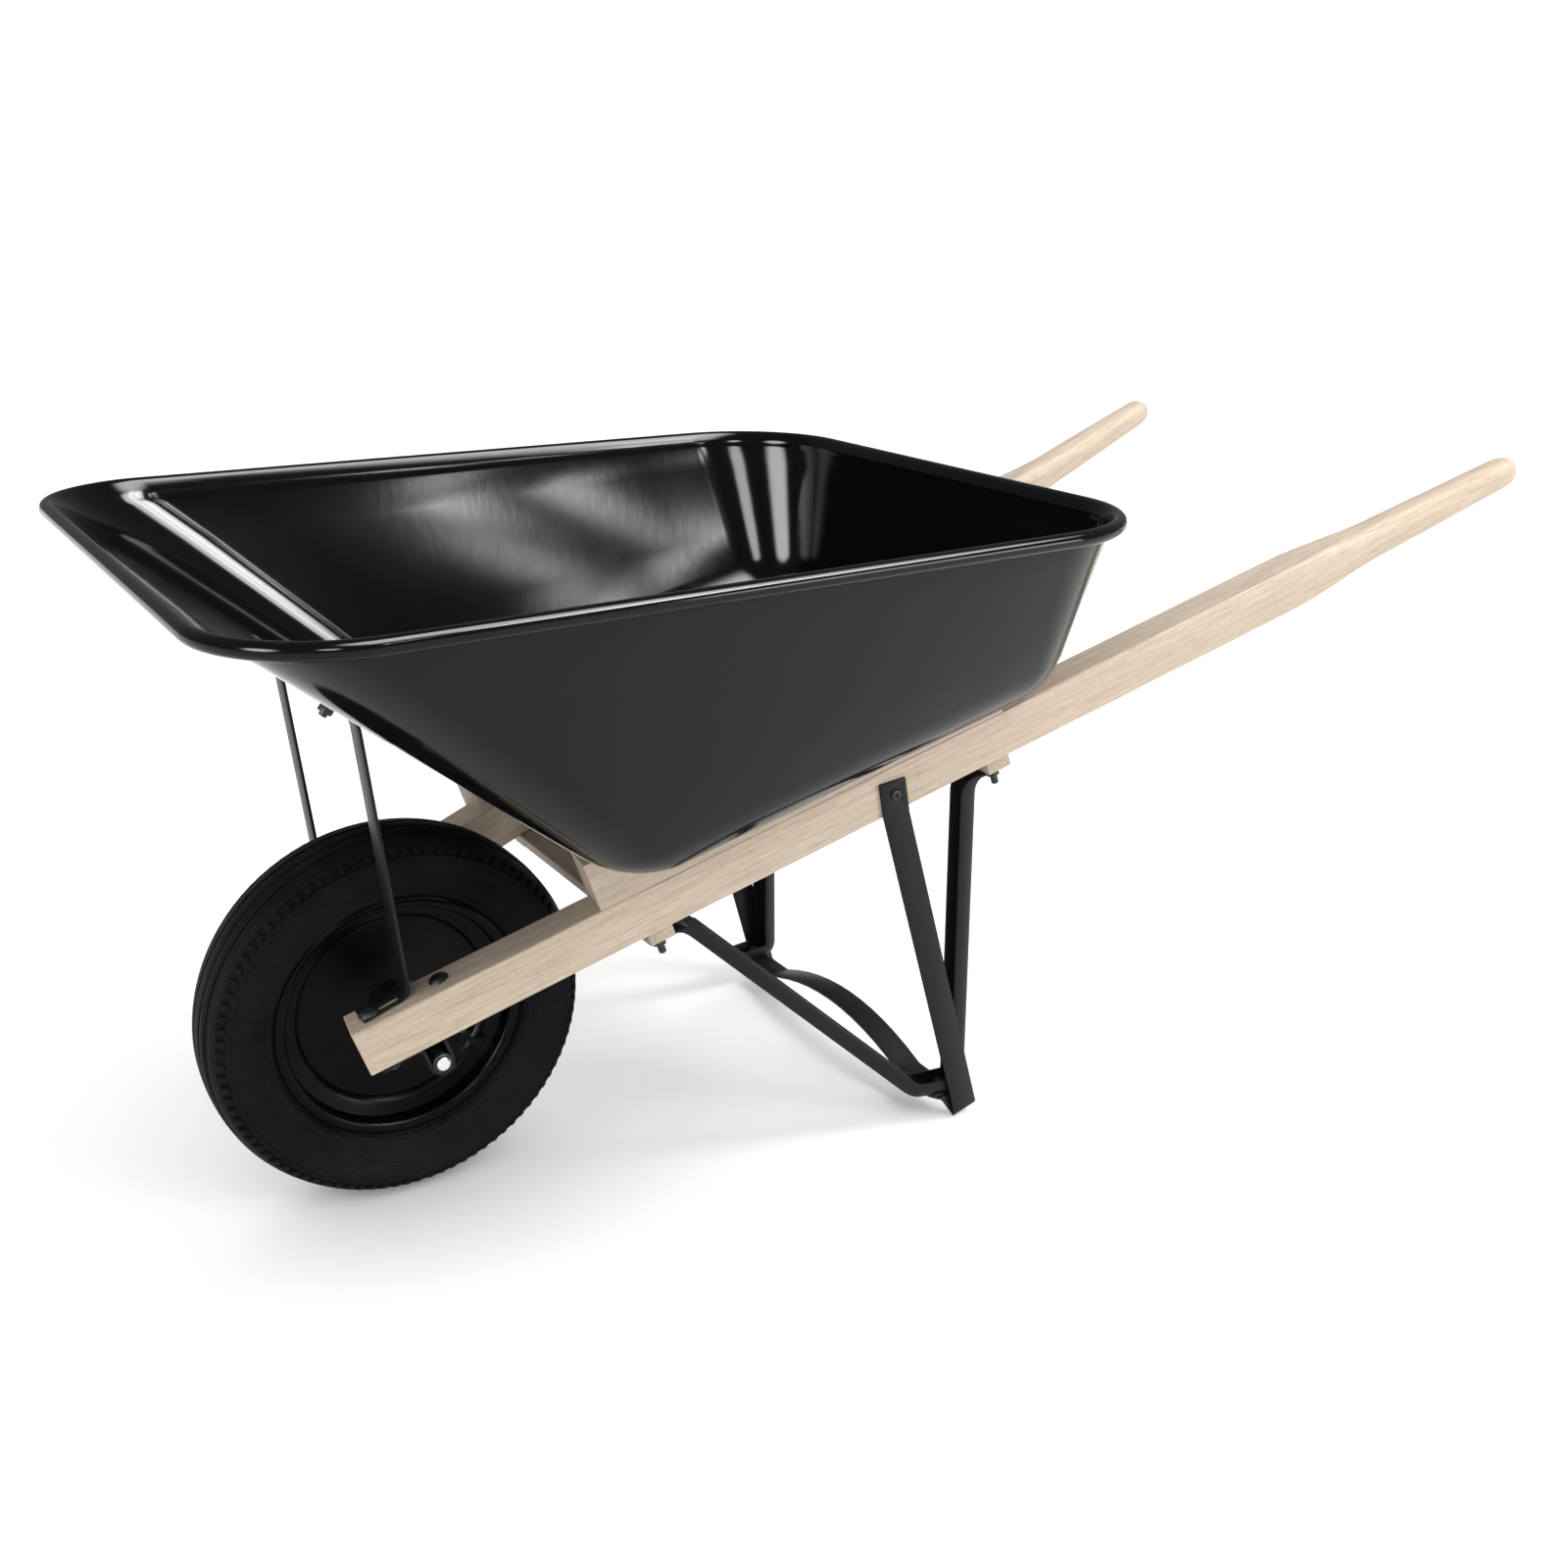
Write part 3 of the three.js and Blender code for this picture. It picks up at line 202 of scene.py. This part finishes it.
def handle_rings():
    """Sections of a handle from its square front end to its rounded grip: place, half width, half height,
    radius of the corners and lift."""
    half_y, half_z, soft = HANDLE_WIDTH / 2, HANDLE_HEIGHT / 2, 0.0008
    round_radius = 0.0209
    yield 0.0, half_y - soft, half_z - soft, HANDLE_EDGE, 0.0
    yield soft, half_y, half_z, HANDLE_EDGE, 0.0
    yield GRIP_START - 0.016, half_y, half_z, HANDLE_EDGE, 0.0
    steps = 14
    for k in range(1, steps + 1):
        t = k / steps
        blend = t * t * (3 - 2 * t)
        y = half_y + (round_radius - half_y) * blend
        z = half_z + (round_radius - half_z) * blend
        corner = HANDLE_EDGE + (min(y, z) - HANDLE_EDGE - 0.0001) * blend
        yield GRIP_START + (GRIP_ROUND - GRIP_START) * t, y, z, corner, GRIP_LIFT * 0.4 * t
    for x, radius, lift in ((1.245, 0.0200, 0.55), (1.290, 0.0189, 0.7), (1.350, 0.0175, 0.95)):
        yield x, radius, radius, radius - 0.0001, GRIP_LIFT * lift
    end_radius, end_reach = 0.0172, 0.023
    for k in range(1, 8):
        turn = math.radians(90 * k / 8)
        radius = end_radius * (1 - (1 - math.cos(turn)) * 0.93)
        yield HANDLE_LENGTH - end_reach * (1 - math.sin(turn)), radius, radius, radius - 0.0001, GRIP_LIFT


def make_handle(name, side, finish):
    place = handle_line(side)
    middle_y = -side * HANDLE_WIDTH / 2
    rings = [[place @ p for p in rounded_section(x, middle_y, HANDLE_HEIGHT / 2 + lift, y, z, corner)]
             for x, y, z, corner, lift in handle_rings()]
    bm = skin(rings, closed_start=True, closed_end=True)
    return seat(piece_from(bm, f"handle_{name}_timber"), f"handle_{name}", finish)


# ------------------------------------------------------------------ tray
def tray_outline(front, rear, half_front, half_rear, r_front, r_rear, inset=0.0):
    """A rounded trapezoid, always with the same number of points, counted from the front left corner."""
    least, corner_steps, edge_steps = 0.004, 14, 8
    corners = [(front + inset, -(half_front - inset), max(r_front - inset, least)),
               (rear - inset, -(half_rear - inset), max(r_rear - inset, least)),
               (rear - inset, half_rear - inset, max(r_rear - inset, least)),
               (front + inset, half_front - inset, max(r_front - inset, least))]
    arcs = []
    for i, (x, y, radius) in enumerate(corners):
        here = Vector((x, y))
        back = (Vector(corners[i - 1][:2]) - here).normalized()
        ahead = (Vector(corners[(i + 1) % 4][:2]) - here).normalized()
        half = back.angle(ahead) / 2
        centre = here + (back + ahead).normalized() * (radius / math.sin(half))
        spoke = here + back * (radius / math.tan(half)) - centre
        turn = math.pi - 2 * half
        arcs.append([centre + Matrix.Rotation(turn * k / corner_steps, 2) @ spoke
                     for k in range(corner_steps + 1)])
    points = []
    for i, arc in enumerate(arcs):
        points += arc
        start, end = arc[-1], arcs[(i + 1) % 4][0]
        points += [start.lerp(end, k / edge_steps) for k in range(1, edge_steps)]
    return points


def on_floor(point):
    """A point of an outline set down on the sloping floor, in the frame."""
    height = FLOOR_AT[1] + FLOOR_SLOPE * (point.x - FLOOR_AT[0]) + SHEET / 2
    return Vector((point.x + AXLE.x, point.y, height))


def tray_slice(rim, foot, inner, out):
    """One section of the sheet: floor, bend, wall and the rim rolled outwards and under."""
    wall = (rim - foot).normalized()
    rise = math.atan2(wall.z, wall.dot(out))
    bend_from = foot + wall * TRAY_BEND
    bend_steps, roll_steps = 8, 14
    points = []
    for k in range(bend_steps + 1):
        t = 1 - k / bend_steps
        points.append(bend_from * (1 - t) ** 2 + foot * (2 * t * (1 - t)) + inner * t * t)
    radius = BEAD - SHEET / 2
    first, sweep = rise + math.pi / 2, math.radians(318)
    roll = [rim + out * (radius * math.cos(first - sweep * k / roll_steps))
            + Vector((0, 0, radius * math.sin(first - sweep * k / roll_steps)))
            for k in range(roll_steps + 1)]
    start = points[-1]
    points += [start.lerp(roll[0], t) - out * inset for t, inset in WALL_STEPS]
    return points + roll


def make_tray(finish):
    rim, foot = tray_outline(**TRAY_RIM), tray_outline(**TRAY_FOOT)
    inner = tray_outline(**TRAY_FOOT, inset=TRAY_BEND)
    slices = []
    for i, point in enumerate(rim):
        along = (rim[(i + 1) % len(rim)] - rim[i - 1]).normalized()
        slices.append(tray_slice(Vector((point.x + AXLE.x, point.y, RIM_Z)), on_floor(foot[i]),
                                 on_floor(inner[i]), Vector((along.y, -along.x, 0))))
    rings = [list(ring) for ring in zip(*slices)]
    bm = skin(rings, closed_start=True)
    floor = max(bm.faces, key=lambda f: len(f.verts))
    if floor.normal.z < 0:
        bmesh.ops.reverse_faces(bm, faces=bm.faces)
    tray = seat(piece_from(bm, "tray_sheet", smooth_angle=60), "tray", finish)
    wall = tray.modifiers.new("sheet", "SOLIDIFY")
    wall.thickness, wall.offset = SHEET, 0
    return tray


# ------------------------------------------------------------------ wheel
def mirrored(half):
    return half + [(r, -y) for r, y in reversed(half)]


def make_tyre(finish):
    """Tyre with a bead rib, ringed side walls, ribbed crown and a row of lugs on each shoulder."""
    bead = [(116.5, 24.4), (119.8, 27.2), (126.6, 27.9), (127.8, 31), (129.4, 35.4), (131.0, 37.4),
            (133.4, 38.1), (135.0, 37.5), (136.2, 38.6)]
    side = [(142, 41.0), (147.6, 42.6), (148.6, 43.6), (150.4, 43.9), (151.4, 43.2), (158, 44.9),
            (164, 45.6), (169.6, 44.9), (170.6, 45.6), (172.4, 45.4), (173.4, 43.9)]
    crown = [(174.8, 41.2), (176.6, 38.6), (179.2, 37.2), (182.0, 37.0), (183.6, 35.0), (184.8, 32.4),
             (186.6, 27.4), (187.6, 24.4), (187.2, 23.5), (184.6, 23.0), (184.6, 21.3), (188.0, 20.7),
             (188.8, 19.8), (189.4, 14.0), (189.7, 10.6), (189.2, 9.8), (186.0, 9.3), (186.0, 7.6),
             (189.4, 7.1), (190.0, 6.2), (190.0, 2.0)]
    inside = [(181, 9), (175, 31), (160, 38), (135, 28), (116.5, 14.5)]
    bm = spun(mirrored(bead + side + crown) + list(reversed(mirrored(inside))), 160)
    add_lugs(bm)
    return seat(piece_from(bm, "tyre_tread", smooth_angle=38), "tyre", finish)


def add_lugs(bm):
    """Small rounded blocks all round both shoulders."""
    for side in (-1, 1):
        middle = behind_axle(LUG_AT[0], side * LUG_AT[1])
        place = Matrix.Translation(middle) @ shoulder_turn(side) @ Matrix.Diagonal((*LUG_SIZE, 1))
        made = bmesh.ops.create_cube(bm, size=1, matrix=place)["verts"]
        block = list(dict.fromkeys(e for v in made for e in v.link_edges))
        eased = bmesh.ops.bevel(bm, geom=block, offset=LUG_EDGE, segments=2, profile=0.5, affect="EDGES",
                                material=-1)
        faces = list(dict.fromkeys(f for v in eased["verts"] for f in v.link_faces))
        verts = list(dict.fromkeys(v for f in faces for v in f.verts))
        edges = list(dict.fromkeys(e for f in faces for e in f.edges))
        bmesh.ops.spin(bm, geom=verts + edges + faces, cent=AXLE, axis=(0, 1, 0),
                       angle=math.tau * (LUGS - 1) / LUGS, steps=LUGS - 1, use_duplicate=True)


def shoulder_turn(side):
    """Turns a block so that its thickness faces out of the shoulder."""
    outward, up = Vector((math.cos(LUG_TILT), side * math.sin(LUG_TILT), 0)), Vector((0, 0, 1))
    return Matrix((outward, up.cross(outward), up)).transposed().to_4x4()


def make_rim(name, side, finish):
    """Pressed half of the wheel: hub seat, dished disc, step, barrel and flange."""
    face = [(15.4, -15), (22, -15), (24.5, -14.4), (30, -10.5), (34, -9.6), (60, -6.4), (92, -2.7),
            (95.4, -3.4), (99, -8), (102, -9.6), (111, -12.2), (113.4, -13.2), (114, -15),
            (114, -26), (115, -28.4), (117.4, -30.0), (121, -30.5), (124.4, -30.6), (125.5, -29.8)]
    back = [(125.2, -28.2), (123.8, -28.0), (120, -28.2), (117, -27.4), (116, -24.6), (116, -14.4),
            (112.4, -10.6), (101, -6.6), (95.4, -0.6), (92, -0.5), (30, -8.5), (22.3, -13), (15.4, -13)]
    bm = spun([(r, -side * y) for r, y in face + back], 144)
    return seat(piece_from(bm, f"rim_{name}_pressing", smooth_angle=40), f"rim_half_{name}", finish)


def make_turned_parts(finishes):
    """Hub tube, bushes, spacers and axle."""
    tube = [(11, -52), (14.4, -52), (15, -51.4), (15, 51.4), (14.4, 52), (11, 52)]
    seat(piece_from(spun(tube, 48), "hub_tube_turned"), "hub_tube", finishes["rim_enamel"])
    rod = [(0.05, -142), (5.2, -142), (6.5, -140.7), (6.5, 140.7), (5.2, 142), (0.05, 142)]
    seat(piece_from(spun(rod, 48), "axle_rod"), "axle", finishes["zinc"])
    for name, side in SIDES:
        bush = [(7.2, 55.35), (14.4, 55.35), (15, 54.8), (15, 52.35), (10.65, 52.35), (10.65, 38.4),
                (7.2, 38.4)]
        spacer = [(6.85, 138), (8.6, 138), (9.1, 137.5), (9.1, 56.8), (8.6, 56.3), (6.85, 56.3)]
        for node, profile in ((f"bush_{name}", bush), (f"axle_spacer_{name}", spacer)):
            bm = spun([(r, side * y) for r, y in profile], 48)
            seat(piece_from(bm, node + "_turned"), node, finishes["bolt_black"])


# ------------------------------------------------------------------ finishes
class Finish:
    """A node material in the making: each step returns the socket that the next one reads."""

    def __init__(self, name, metallic=0.0, specular=0.5):
        self.material = bpy.data.materials.new(name)
        self.material.use_nodes = True
        self.tree = self.material.node_tree
        self.shader = self.tree.nodes["Principled BSDF"]
        self.set("Metallic", metallic)
        self.set("Specular IOR Level", specular)
        self.place = self.step("ShaderNodeTexCoord", output="Object")

    def set(self, socket, value):
        self.feed(self.shader.inputs[socket], value)

    def feed(self, socket, value):
        if isinstance(value, bpy.types.NodeSocket):
            self.tree.links.new(value, socket)
        else:
            socket.default_value = value

    def step(self, kind, output=0, inputs=(), **settings):
        node = self.tree.nodes.new(kind)
        for key, value in settings.items():
            setattr(node, key, value)
        for key, value in dict(inputs).items():
            self.feed(node.inputs[key], value)
        return node.outputs[output]

    def stretched(self, scale, source=None):
        return self.step("ShaderNodeMapping", inputs={"Vector": source or self.place, "Scale": scale})

    def noise(self, scale, detail=2.0, source=None, roughness=0.5):
        return self.step("ShaderNodeTexNoise", inputs={
            "Vector": source or self.place, "Scale": scale, "Detail": detail, "Roughness": roughness})

    def remap(self, value, low, high, out_low, out_high):
        return self.step("ShaderNodeMapRange", inputs={
            "Value": value, "From Min": low, "From Max": high, "To Min": out_low, "To Max": out_high})

    def maths(self, operation, a, b=0.0):
        node = self.tree.nodes.new("ShaderNodeMath")
        node.operation = operation
        self.feed(node.inputs[0], a)
        self.feed(node.inputs[1], b)
        return node.outputs[0]

    def length(self, a, b):
        squares = self.maths("ADD", self.maths("MULTIPLY", a, a), self.maths("MULTIPLY", b, b))
        return self.maths("SQRT", squares)

    def axes(self, vector):
        parts = self.tree.nodes.new("ShaderNodeSeparateXYZ")
        self.feed(parts.inputs[0], vector)
        return tuple(parts.outputs)

    def blend(self, factor, a, b):
        node = self.tree.nodes.new("ShaderNodeMix")
        node.data_type = "RGBA"
        for index, value in ((0, factor), (6, a), (7, b)):
            self.feed(node.inputs[index], value if not isinstance(value, tuple) else (*value, 1))
        return node.outputs[2]

    def bump(self, *layers):
        """Stacks height layers of (height, distance, strength) onto the surface."""
        normal = None
        for height, distance, strength in layers:
            inputs = {"Height": height, "Distance": distance, "Strength": strength}
            if normal:
                inputs["Normal"] = normal
            normal = self.step("ShaderNodeBump", inputs=inputs)
        self.set("Normal", normal)


def enamel(name, colour, dusty, smoothest, roughest, specular, waviness=0.0, streaks=0.0):
    """Stoved black paint on steel: orange peel, faint runs, a little dust and uneven gloss."""
    f = Finish(name, specular=specular)
    runs = f.noise(1.0, 3, f.stretched((120, 120, 3.2)), 0.6)
    clouds = f.noise(5.5, 3)
    specks = f.remap(f.noise(420, 2), 0.66, 0.8, 0, 1)
    worn = f.maths("MULTIPLY", f.remap(clouds, 0.35, 0.75, 0, 1), 0.35)
    f.set("Base Color", f.blend(f.maths("ADD", worn, f.maths("MULTIPLY", specks, 0.35)), colour, dusty))
    uneven = f.maths("ADD", f.maths("MULTIPLY", clouds, 0.6), f.maths("MULTIPLY", runs, 0.4))
    f.set("Roughness", f.remap(uneven, 0.3, 0.7, smoothest, roughest))
    peel = f.noise(260, 1)
    f.bump((f.noise(3.4, 1), 0.02, waviness), (runs, 0.0004, streaks), (peel, 0.0001, 0.05))
    return f.material


def rubber(name, ringed):
    """Black rubber with a grey bloom; a tyre also has fine rings from its mould."""
    f = Finish(name, specular=0.04)
    bloom = f.noise(14, 4, roughness=0.65)
    black, grey = (0.0035, 0.0038, 0.0037), (0.0085, 0.0094, 0.0091)
    f.set("Base Color", f.blend(f.remap(bloom, 0.35, 0.75, 0.1, 1), black, grey))
    f.set("Roughness", f.remap(bloom, 0.3, 0.7, 0.48, 0.66))
    layers = [(f.noise(900, 2), 0.0003, 0.3)]
    if ringed:
        x, _, z = f.axes(f.place)
        radius = f.length(f.maths("SUBTRACT", x, AXLE.x), f.maths("SUBTRACT", z, AXLE.z))
        rings = f.maths("SINE", f.maths("MULTIPLY", radius, math.tau / MOULD_RING))
        layers.insert(0, (rings, 0.0006, 0.5))
    f.bump(*layers)
    return f.material


def plated(name):
    """Bright zinc plate with fine turning marks."""
    f = Finish(name, metallic=1.0)
    f.set("Base Color", (0.66, 0.68, 0.69, 1))
    f.set("Roughness", f.remap(f.noise(160, 3), 0.3, 0.7, 0.18, 0.38))
    f.bump((f.noise(1.0, 1, f.stretched((60, 2600, 60))), 0.0002, 0.2))
    return f.material


def blackened(name):
    """Oiled black fasteners, slightly bright where the finish is thin."""
    f = Finish(name, metallic=0.35)
    thin = f.remap(f.noise(240, 4), 0.6, 0.78, 0, 0.6)
    f.set("Base Color", f.blend(thin, (0.014, 0.014, 0.015), (0.075, 0.075, 0.078)))
    f.set("Roughness", f.remap(f.noise(90, 3), 0.3, 0.7, 0.32, 0.55))
    f.bump((f.noise(1400, 2), 0.0002, 0.2))
    return f.material


def timber(name, place, pale, tan, dark, pith):
    """Sanded hardwood: growth rings round a distant pith, pores and a soft variation along the grain."""
    f = Finish(name, specular=0.3)
    local = f.step("ShaderNodeMapping", vector_type="TEXTURE", inputs={
        "Vector": f.place, "Location": place.to_translation(), "Rotation": place.to_euler()})
    x, y, z = f.axes(local)
    lean_y, lean_z, wander = 0.011, 0.017, 0.022
    drift = f.noise(1.0, 3, f.stretched((2.1, 13, 13), local), 0.55)
    off_y = f.maths("SUBTRACT", f.maths("ADD", y, f.maths("MULTIPLY", x, lean_y)), pith[0])
    off_z = f.maths("SUBTRACT", f.maths("SUBTRACT", z, f.maths("MULTIPLY", x, lean_z)), pith[1])
    bent = f.maths("ADD", f.length(off_y, off_z), f.maths("MULTIPLY", drift, wander))
    late = f.maths("POWER", f.maths("FRACT", f.maths("MULTIPLY", bent, 1 / GROWTH_RING)), 2.6)
    fleck = f.remap(f.noise(1.0, 2, f.stretched((95, 1300, 1300), local), 0.6), 0.56, 0.70, 0, 1)
    fibre = f.noise(1.0, 4, f.stretched((14, 440, 440), local), 0.65)
    tone = f.noise(1.0, 2, f.stretched((1.3, 16, 16), local))
    body = f.blend(f.remap(tone, 0.3, 0.7, 0.0, 0.75), pale, tan)
    ringed = f.blend(f.maths("MULTIPLY", late, 0.5), body, tan)
    fibrous = f.blend(f.remap(fibre, 0.42, 0.72, 0.0, 0.6), ringed, dark)
    f.set("Base Color", f.blend(f.maths("MULTIPLY", fleck, 0.6), fibrous, dark))
    f.set("Roughness", f.remap(fibre, 0.3, 0.7, 0.52, 0.68))
    f.bump((late, 0.0003, 0.25), (fleck, 0.0005, -0.35), (fibre, 0.0003, 0.3))
    return f.material


# ------------------------------------------------------------------ assembly
def make_finishes():
    return {
        "tray_enamel": enamel("tray_enamel", (0.0020, 0.0027, 0.0028), (0.0042, 0.0052, 0.0054), 0.08, 0.13,
                              specular=0.16, waviness=0.04, streaks=0.05),
        "frame_enamel": enamel("frame_enamel", (0.0045, 0.0049, 0.0048), (0.0085, 0.0092, 0.009), 0.34, 0.46,
                               specular=0.17),
        "rim_enamel": enamel("rim_enamel", (0.0010, 0.0010, 0.0011), (0.0022, 0.0023, 0.0023), 0.20, 0.32,
                             specular=0.07, waviness=0.03),
        "bolt_black": blackened("bolt_black"),
        "zinc": plated("zinc"),
        "tyre_rubber": rubber("tyre_rubber", ringed=True),
        "tube_rubber": rubber("tube_rubber", ringed=False),
    }


def make_woodwork():
    """Handles in pale timber; risers and crosspieces in the same timber darkened as painted shade from the tray
    above, each with its own grain.
    """
    pale, tan, dark = (0.485, 0.405, 0.322), (0.37, 0.298, 0.226), (0.21, 0.156, 0.11)
    # risers and crosspieces lie under the tray: their wood is the handle timber darkened by a tenth, painted shade
    painted_shade_tones = [tuple(c * 0.9 for c in shade) for shade in (pale, tan, dark)]
    edge = 0.0008
    for name, side in SIDES:
        line = handle_line(side)
        grain = timber(f"handle_timber_{name}", line, pale, tan, dark, (0.012 * side, -0.055))
        make_handle(name, side, grain)
        riser = line @ Matrix.Translation((0, 0, 0.02 * side))
        grain = timber(f"riser_timber_{name}", riser, *painted_shade_tones, (0.05 * side, -0.03))
        eased_copy(f"wedge_{name}", grain, edge)
    across = Matrix.Rotation(math.radians(90), 4, "Z")
    for row, name in enumerate(("crosspiece_front", "crosspiece_rear")):
        board = handle_plane() @ across @ Matrix.Translation((0.4 * row, 0, 0))
        grain = timber(f"{name}_timber", board, *painted_shade_tones, (-0.06, -0.04 - 0.02 * row))
        eased_copy(name, grain, edge)


def make_steelwork(finishes):
    """Straps, legs, valve and fasteners keep their shapes, with eased edges; the inner tube stays plain."""
    done = {"tray", "tyre", "hub_tube", "axle", "inner_tube"}
    for node, slot in SLOT_OF.items():
        if node in done or "wood" in slot or node.startswith(("rim_half", "bush", "axle_spacer")):
            continue
        eased_copy(node, finishes[slot], 0.0005 if slot == "frame_enamel" else 0.0003)
    cad["inner_tube"].data.materials.clear()
    cad["inner_tube"].data.materials.append(finishes["tube_rubber"])


def make_wheel(finishes):
    make_tyre(finishes["tyre_rubber"])
    for name, side in SIDES:
        make_rim(name, side, finishes["rim_enamel"])
    make_turned_parts(finishes)


# ------------------------------------------------------------------ studio
def soft_light(name, place, target, width, height, power):
    light = bpy.data.lights.new(name, "AREA")
    light.shape, light.size, light.size_y, light.energy = "RECTANGLE", width, height, power
    lamp = bpy.data.objects.new(name, light)
    lamp.location = place
    lamp.rotation_euler = (Vector(target) - Vector(place)).to_track_quat("-Z", "Y").to_euler()
    bpy.context.scene.collection.objects.link(lamp)


def make_sky():
    """White surroundings, which gloss shows as a dim room with soft lights in it."""
    world = bpy.data.worlds.new("studio")
    world.use_nodes = True
    tree = world.node_tree
    sky = tree.nodes["Background"]
    sky.inputs["Color"].default_value = (1, 1, 1, 1)
    seen = tree.nodes.new("ShaderNodeLightPath")
    toward = tree.nodes.new("ShaderNodeTexCoord").outputs["Generated"]
    gloss = None
    for direction, wide, narrow, strength in SOFTBOXES:
        facing = tree.nodes.new("ShaderNodeVectorMath")
        facing.operation = "DOT_PRODUCT"
        facing.inputs[1].default_value = Vector(direction).normalized()
        tree.links.new(toward, facing.inputs[0])
        box = tree.nodes.new("ShaderNodeMapRange")
        box.interpolation_type = "SMOOTHSTEP"
        limits = math.cos(math.radians(wide)), math.cos(math.radians(narrow)), 0.0, strength
        for socket, value in zip(("From Min", "From Max", "To Min", "To Max"), limits):
            box.inputs[socket].default_value = value
        tree.links.new(facing.outputs["Value"], box.inputs["Value"])
        total = tree.nodes.new("ShaderNodeMath")
        total.inputs[0].default_value = REFLECTED
        if gloss:
            tree.links.new(gloss, total.inputs[0])
        tree.links.new(box.outputs[0], total.inputs[1])
        gloss = total.outputs[0]
    level = tree.nodes.new("ShaderNodeMapRange")
    level.inputs["To Min"].default_value = AMBIENT
    tree.links.new(gloss, level.inputs["To Max"])
    tree.links.new(seen.outputs["Is Glossy Ray"], level.inputs["Value"])
    tree.links.new(level.outputs[0], sky.inputs["Strength"])
    return world


def make_studio():
    bpy.context.scene.view_settings.view_transform = "Standard"
    bpy.context.scene.world = make_sky()
    soft_light("key", (1.5, -1.0, 2.75), (-0.2, 0.0, 0.5), 0.9, 0.9, 30)
    soft_light("side_fill", (1.8, -2.7, 0.9), (0.2, -0.2, 0.45), 1.2, 0.8, 44)
    bm = bmesh.new()
    bmesh.ops.create_grid(bm, x_segments=1, y_segments=1, size=30)
    floor = piece_from(bm, "studio_floor")
    pale = Finish("pale_floor", specular=0.1)
    pale.set("Base Color", (0.97, 0.97, 0.97, 1))
    pale.set("Roughness", 0.9)
    floor.data.materials.append(pale.material)


def make_camera():
    data = bpy.data.cameras.new("camera")
    data.lens, data.sensor_width = 38.97, 36
    data.clip_start, data.clip_end = 0.05, 200
    camera = bpy.data.objects.new("camera", data)
    camera.location = (-0.9754, -1.4917, 0.969)
    camera.rotation_euler = (math.radians(70.18), 0, math.radians(-31.78))
    bpy.context.scene.collection.objects.link(camera)
    bpy.context.scene.camera = camera


finishes = make_finishes()
make_tray(finishes["tray_enamel"])
make_woodwork()
make_steelwork(finishes)
make_wheel(finishes)
make_studio()
make_camera()
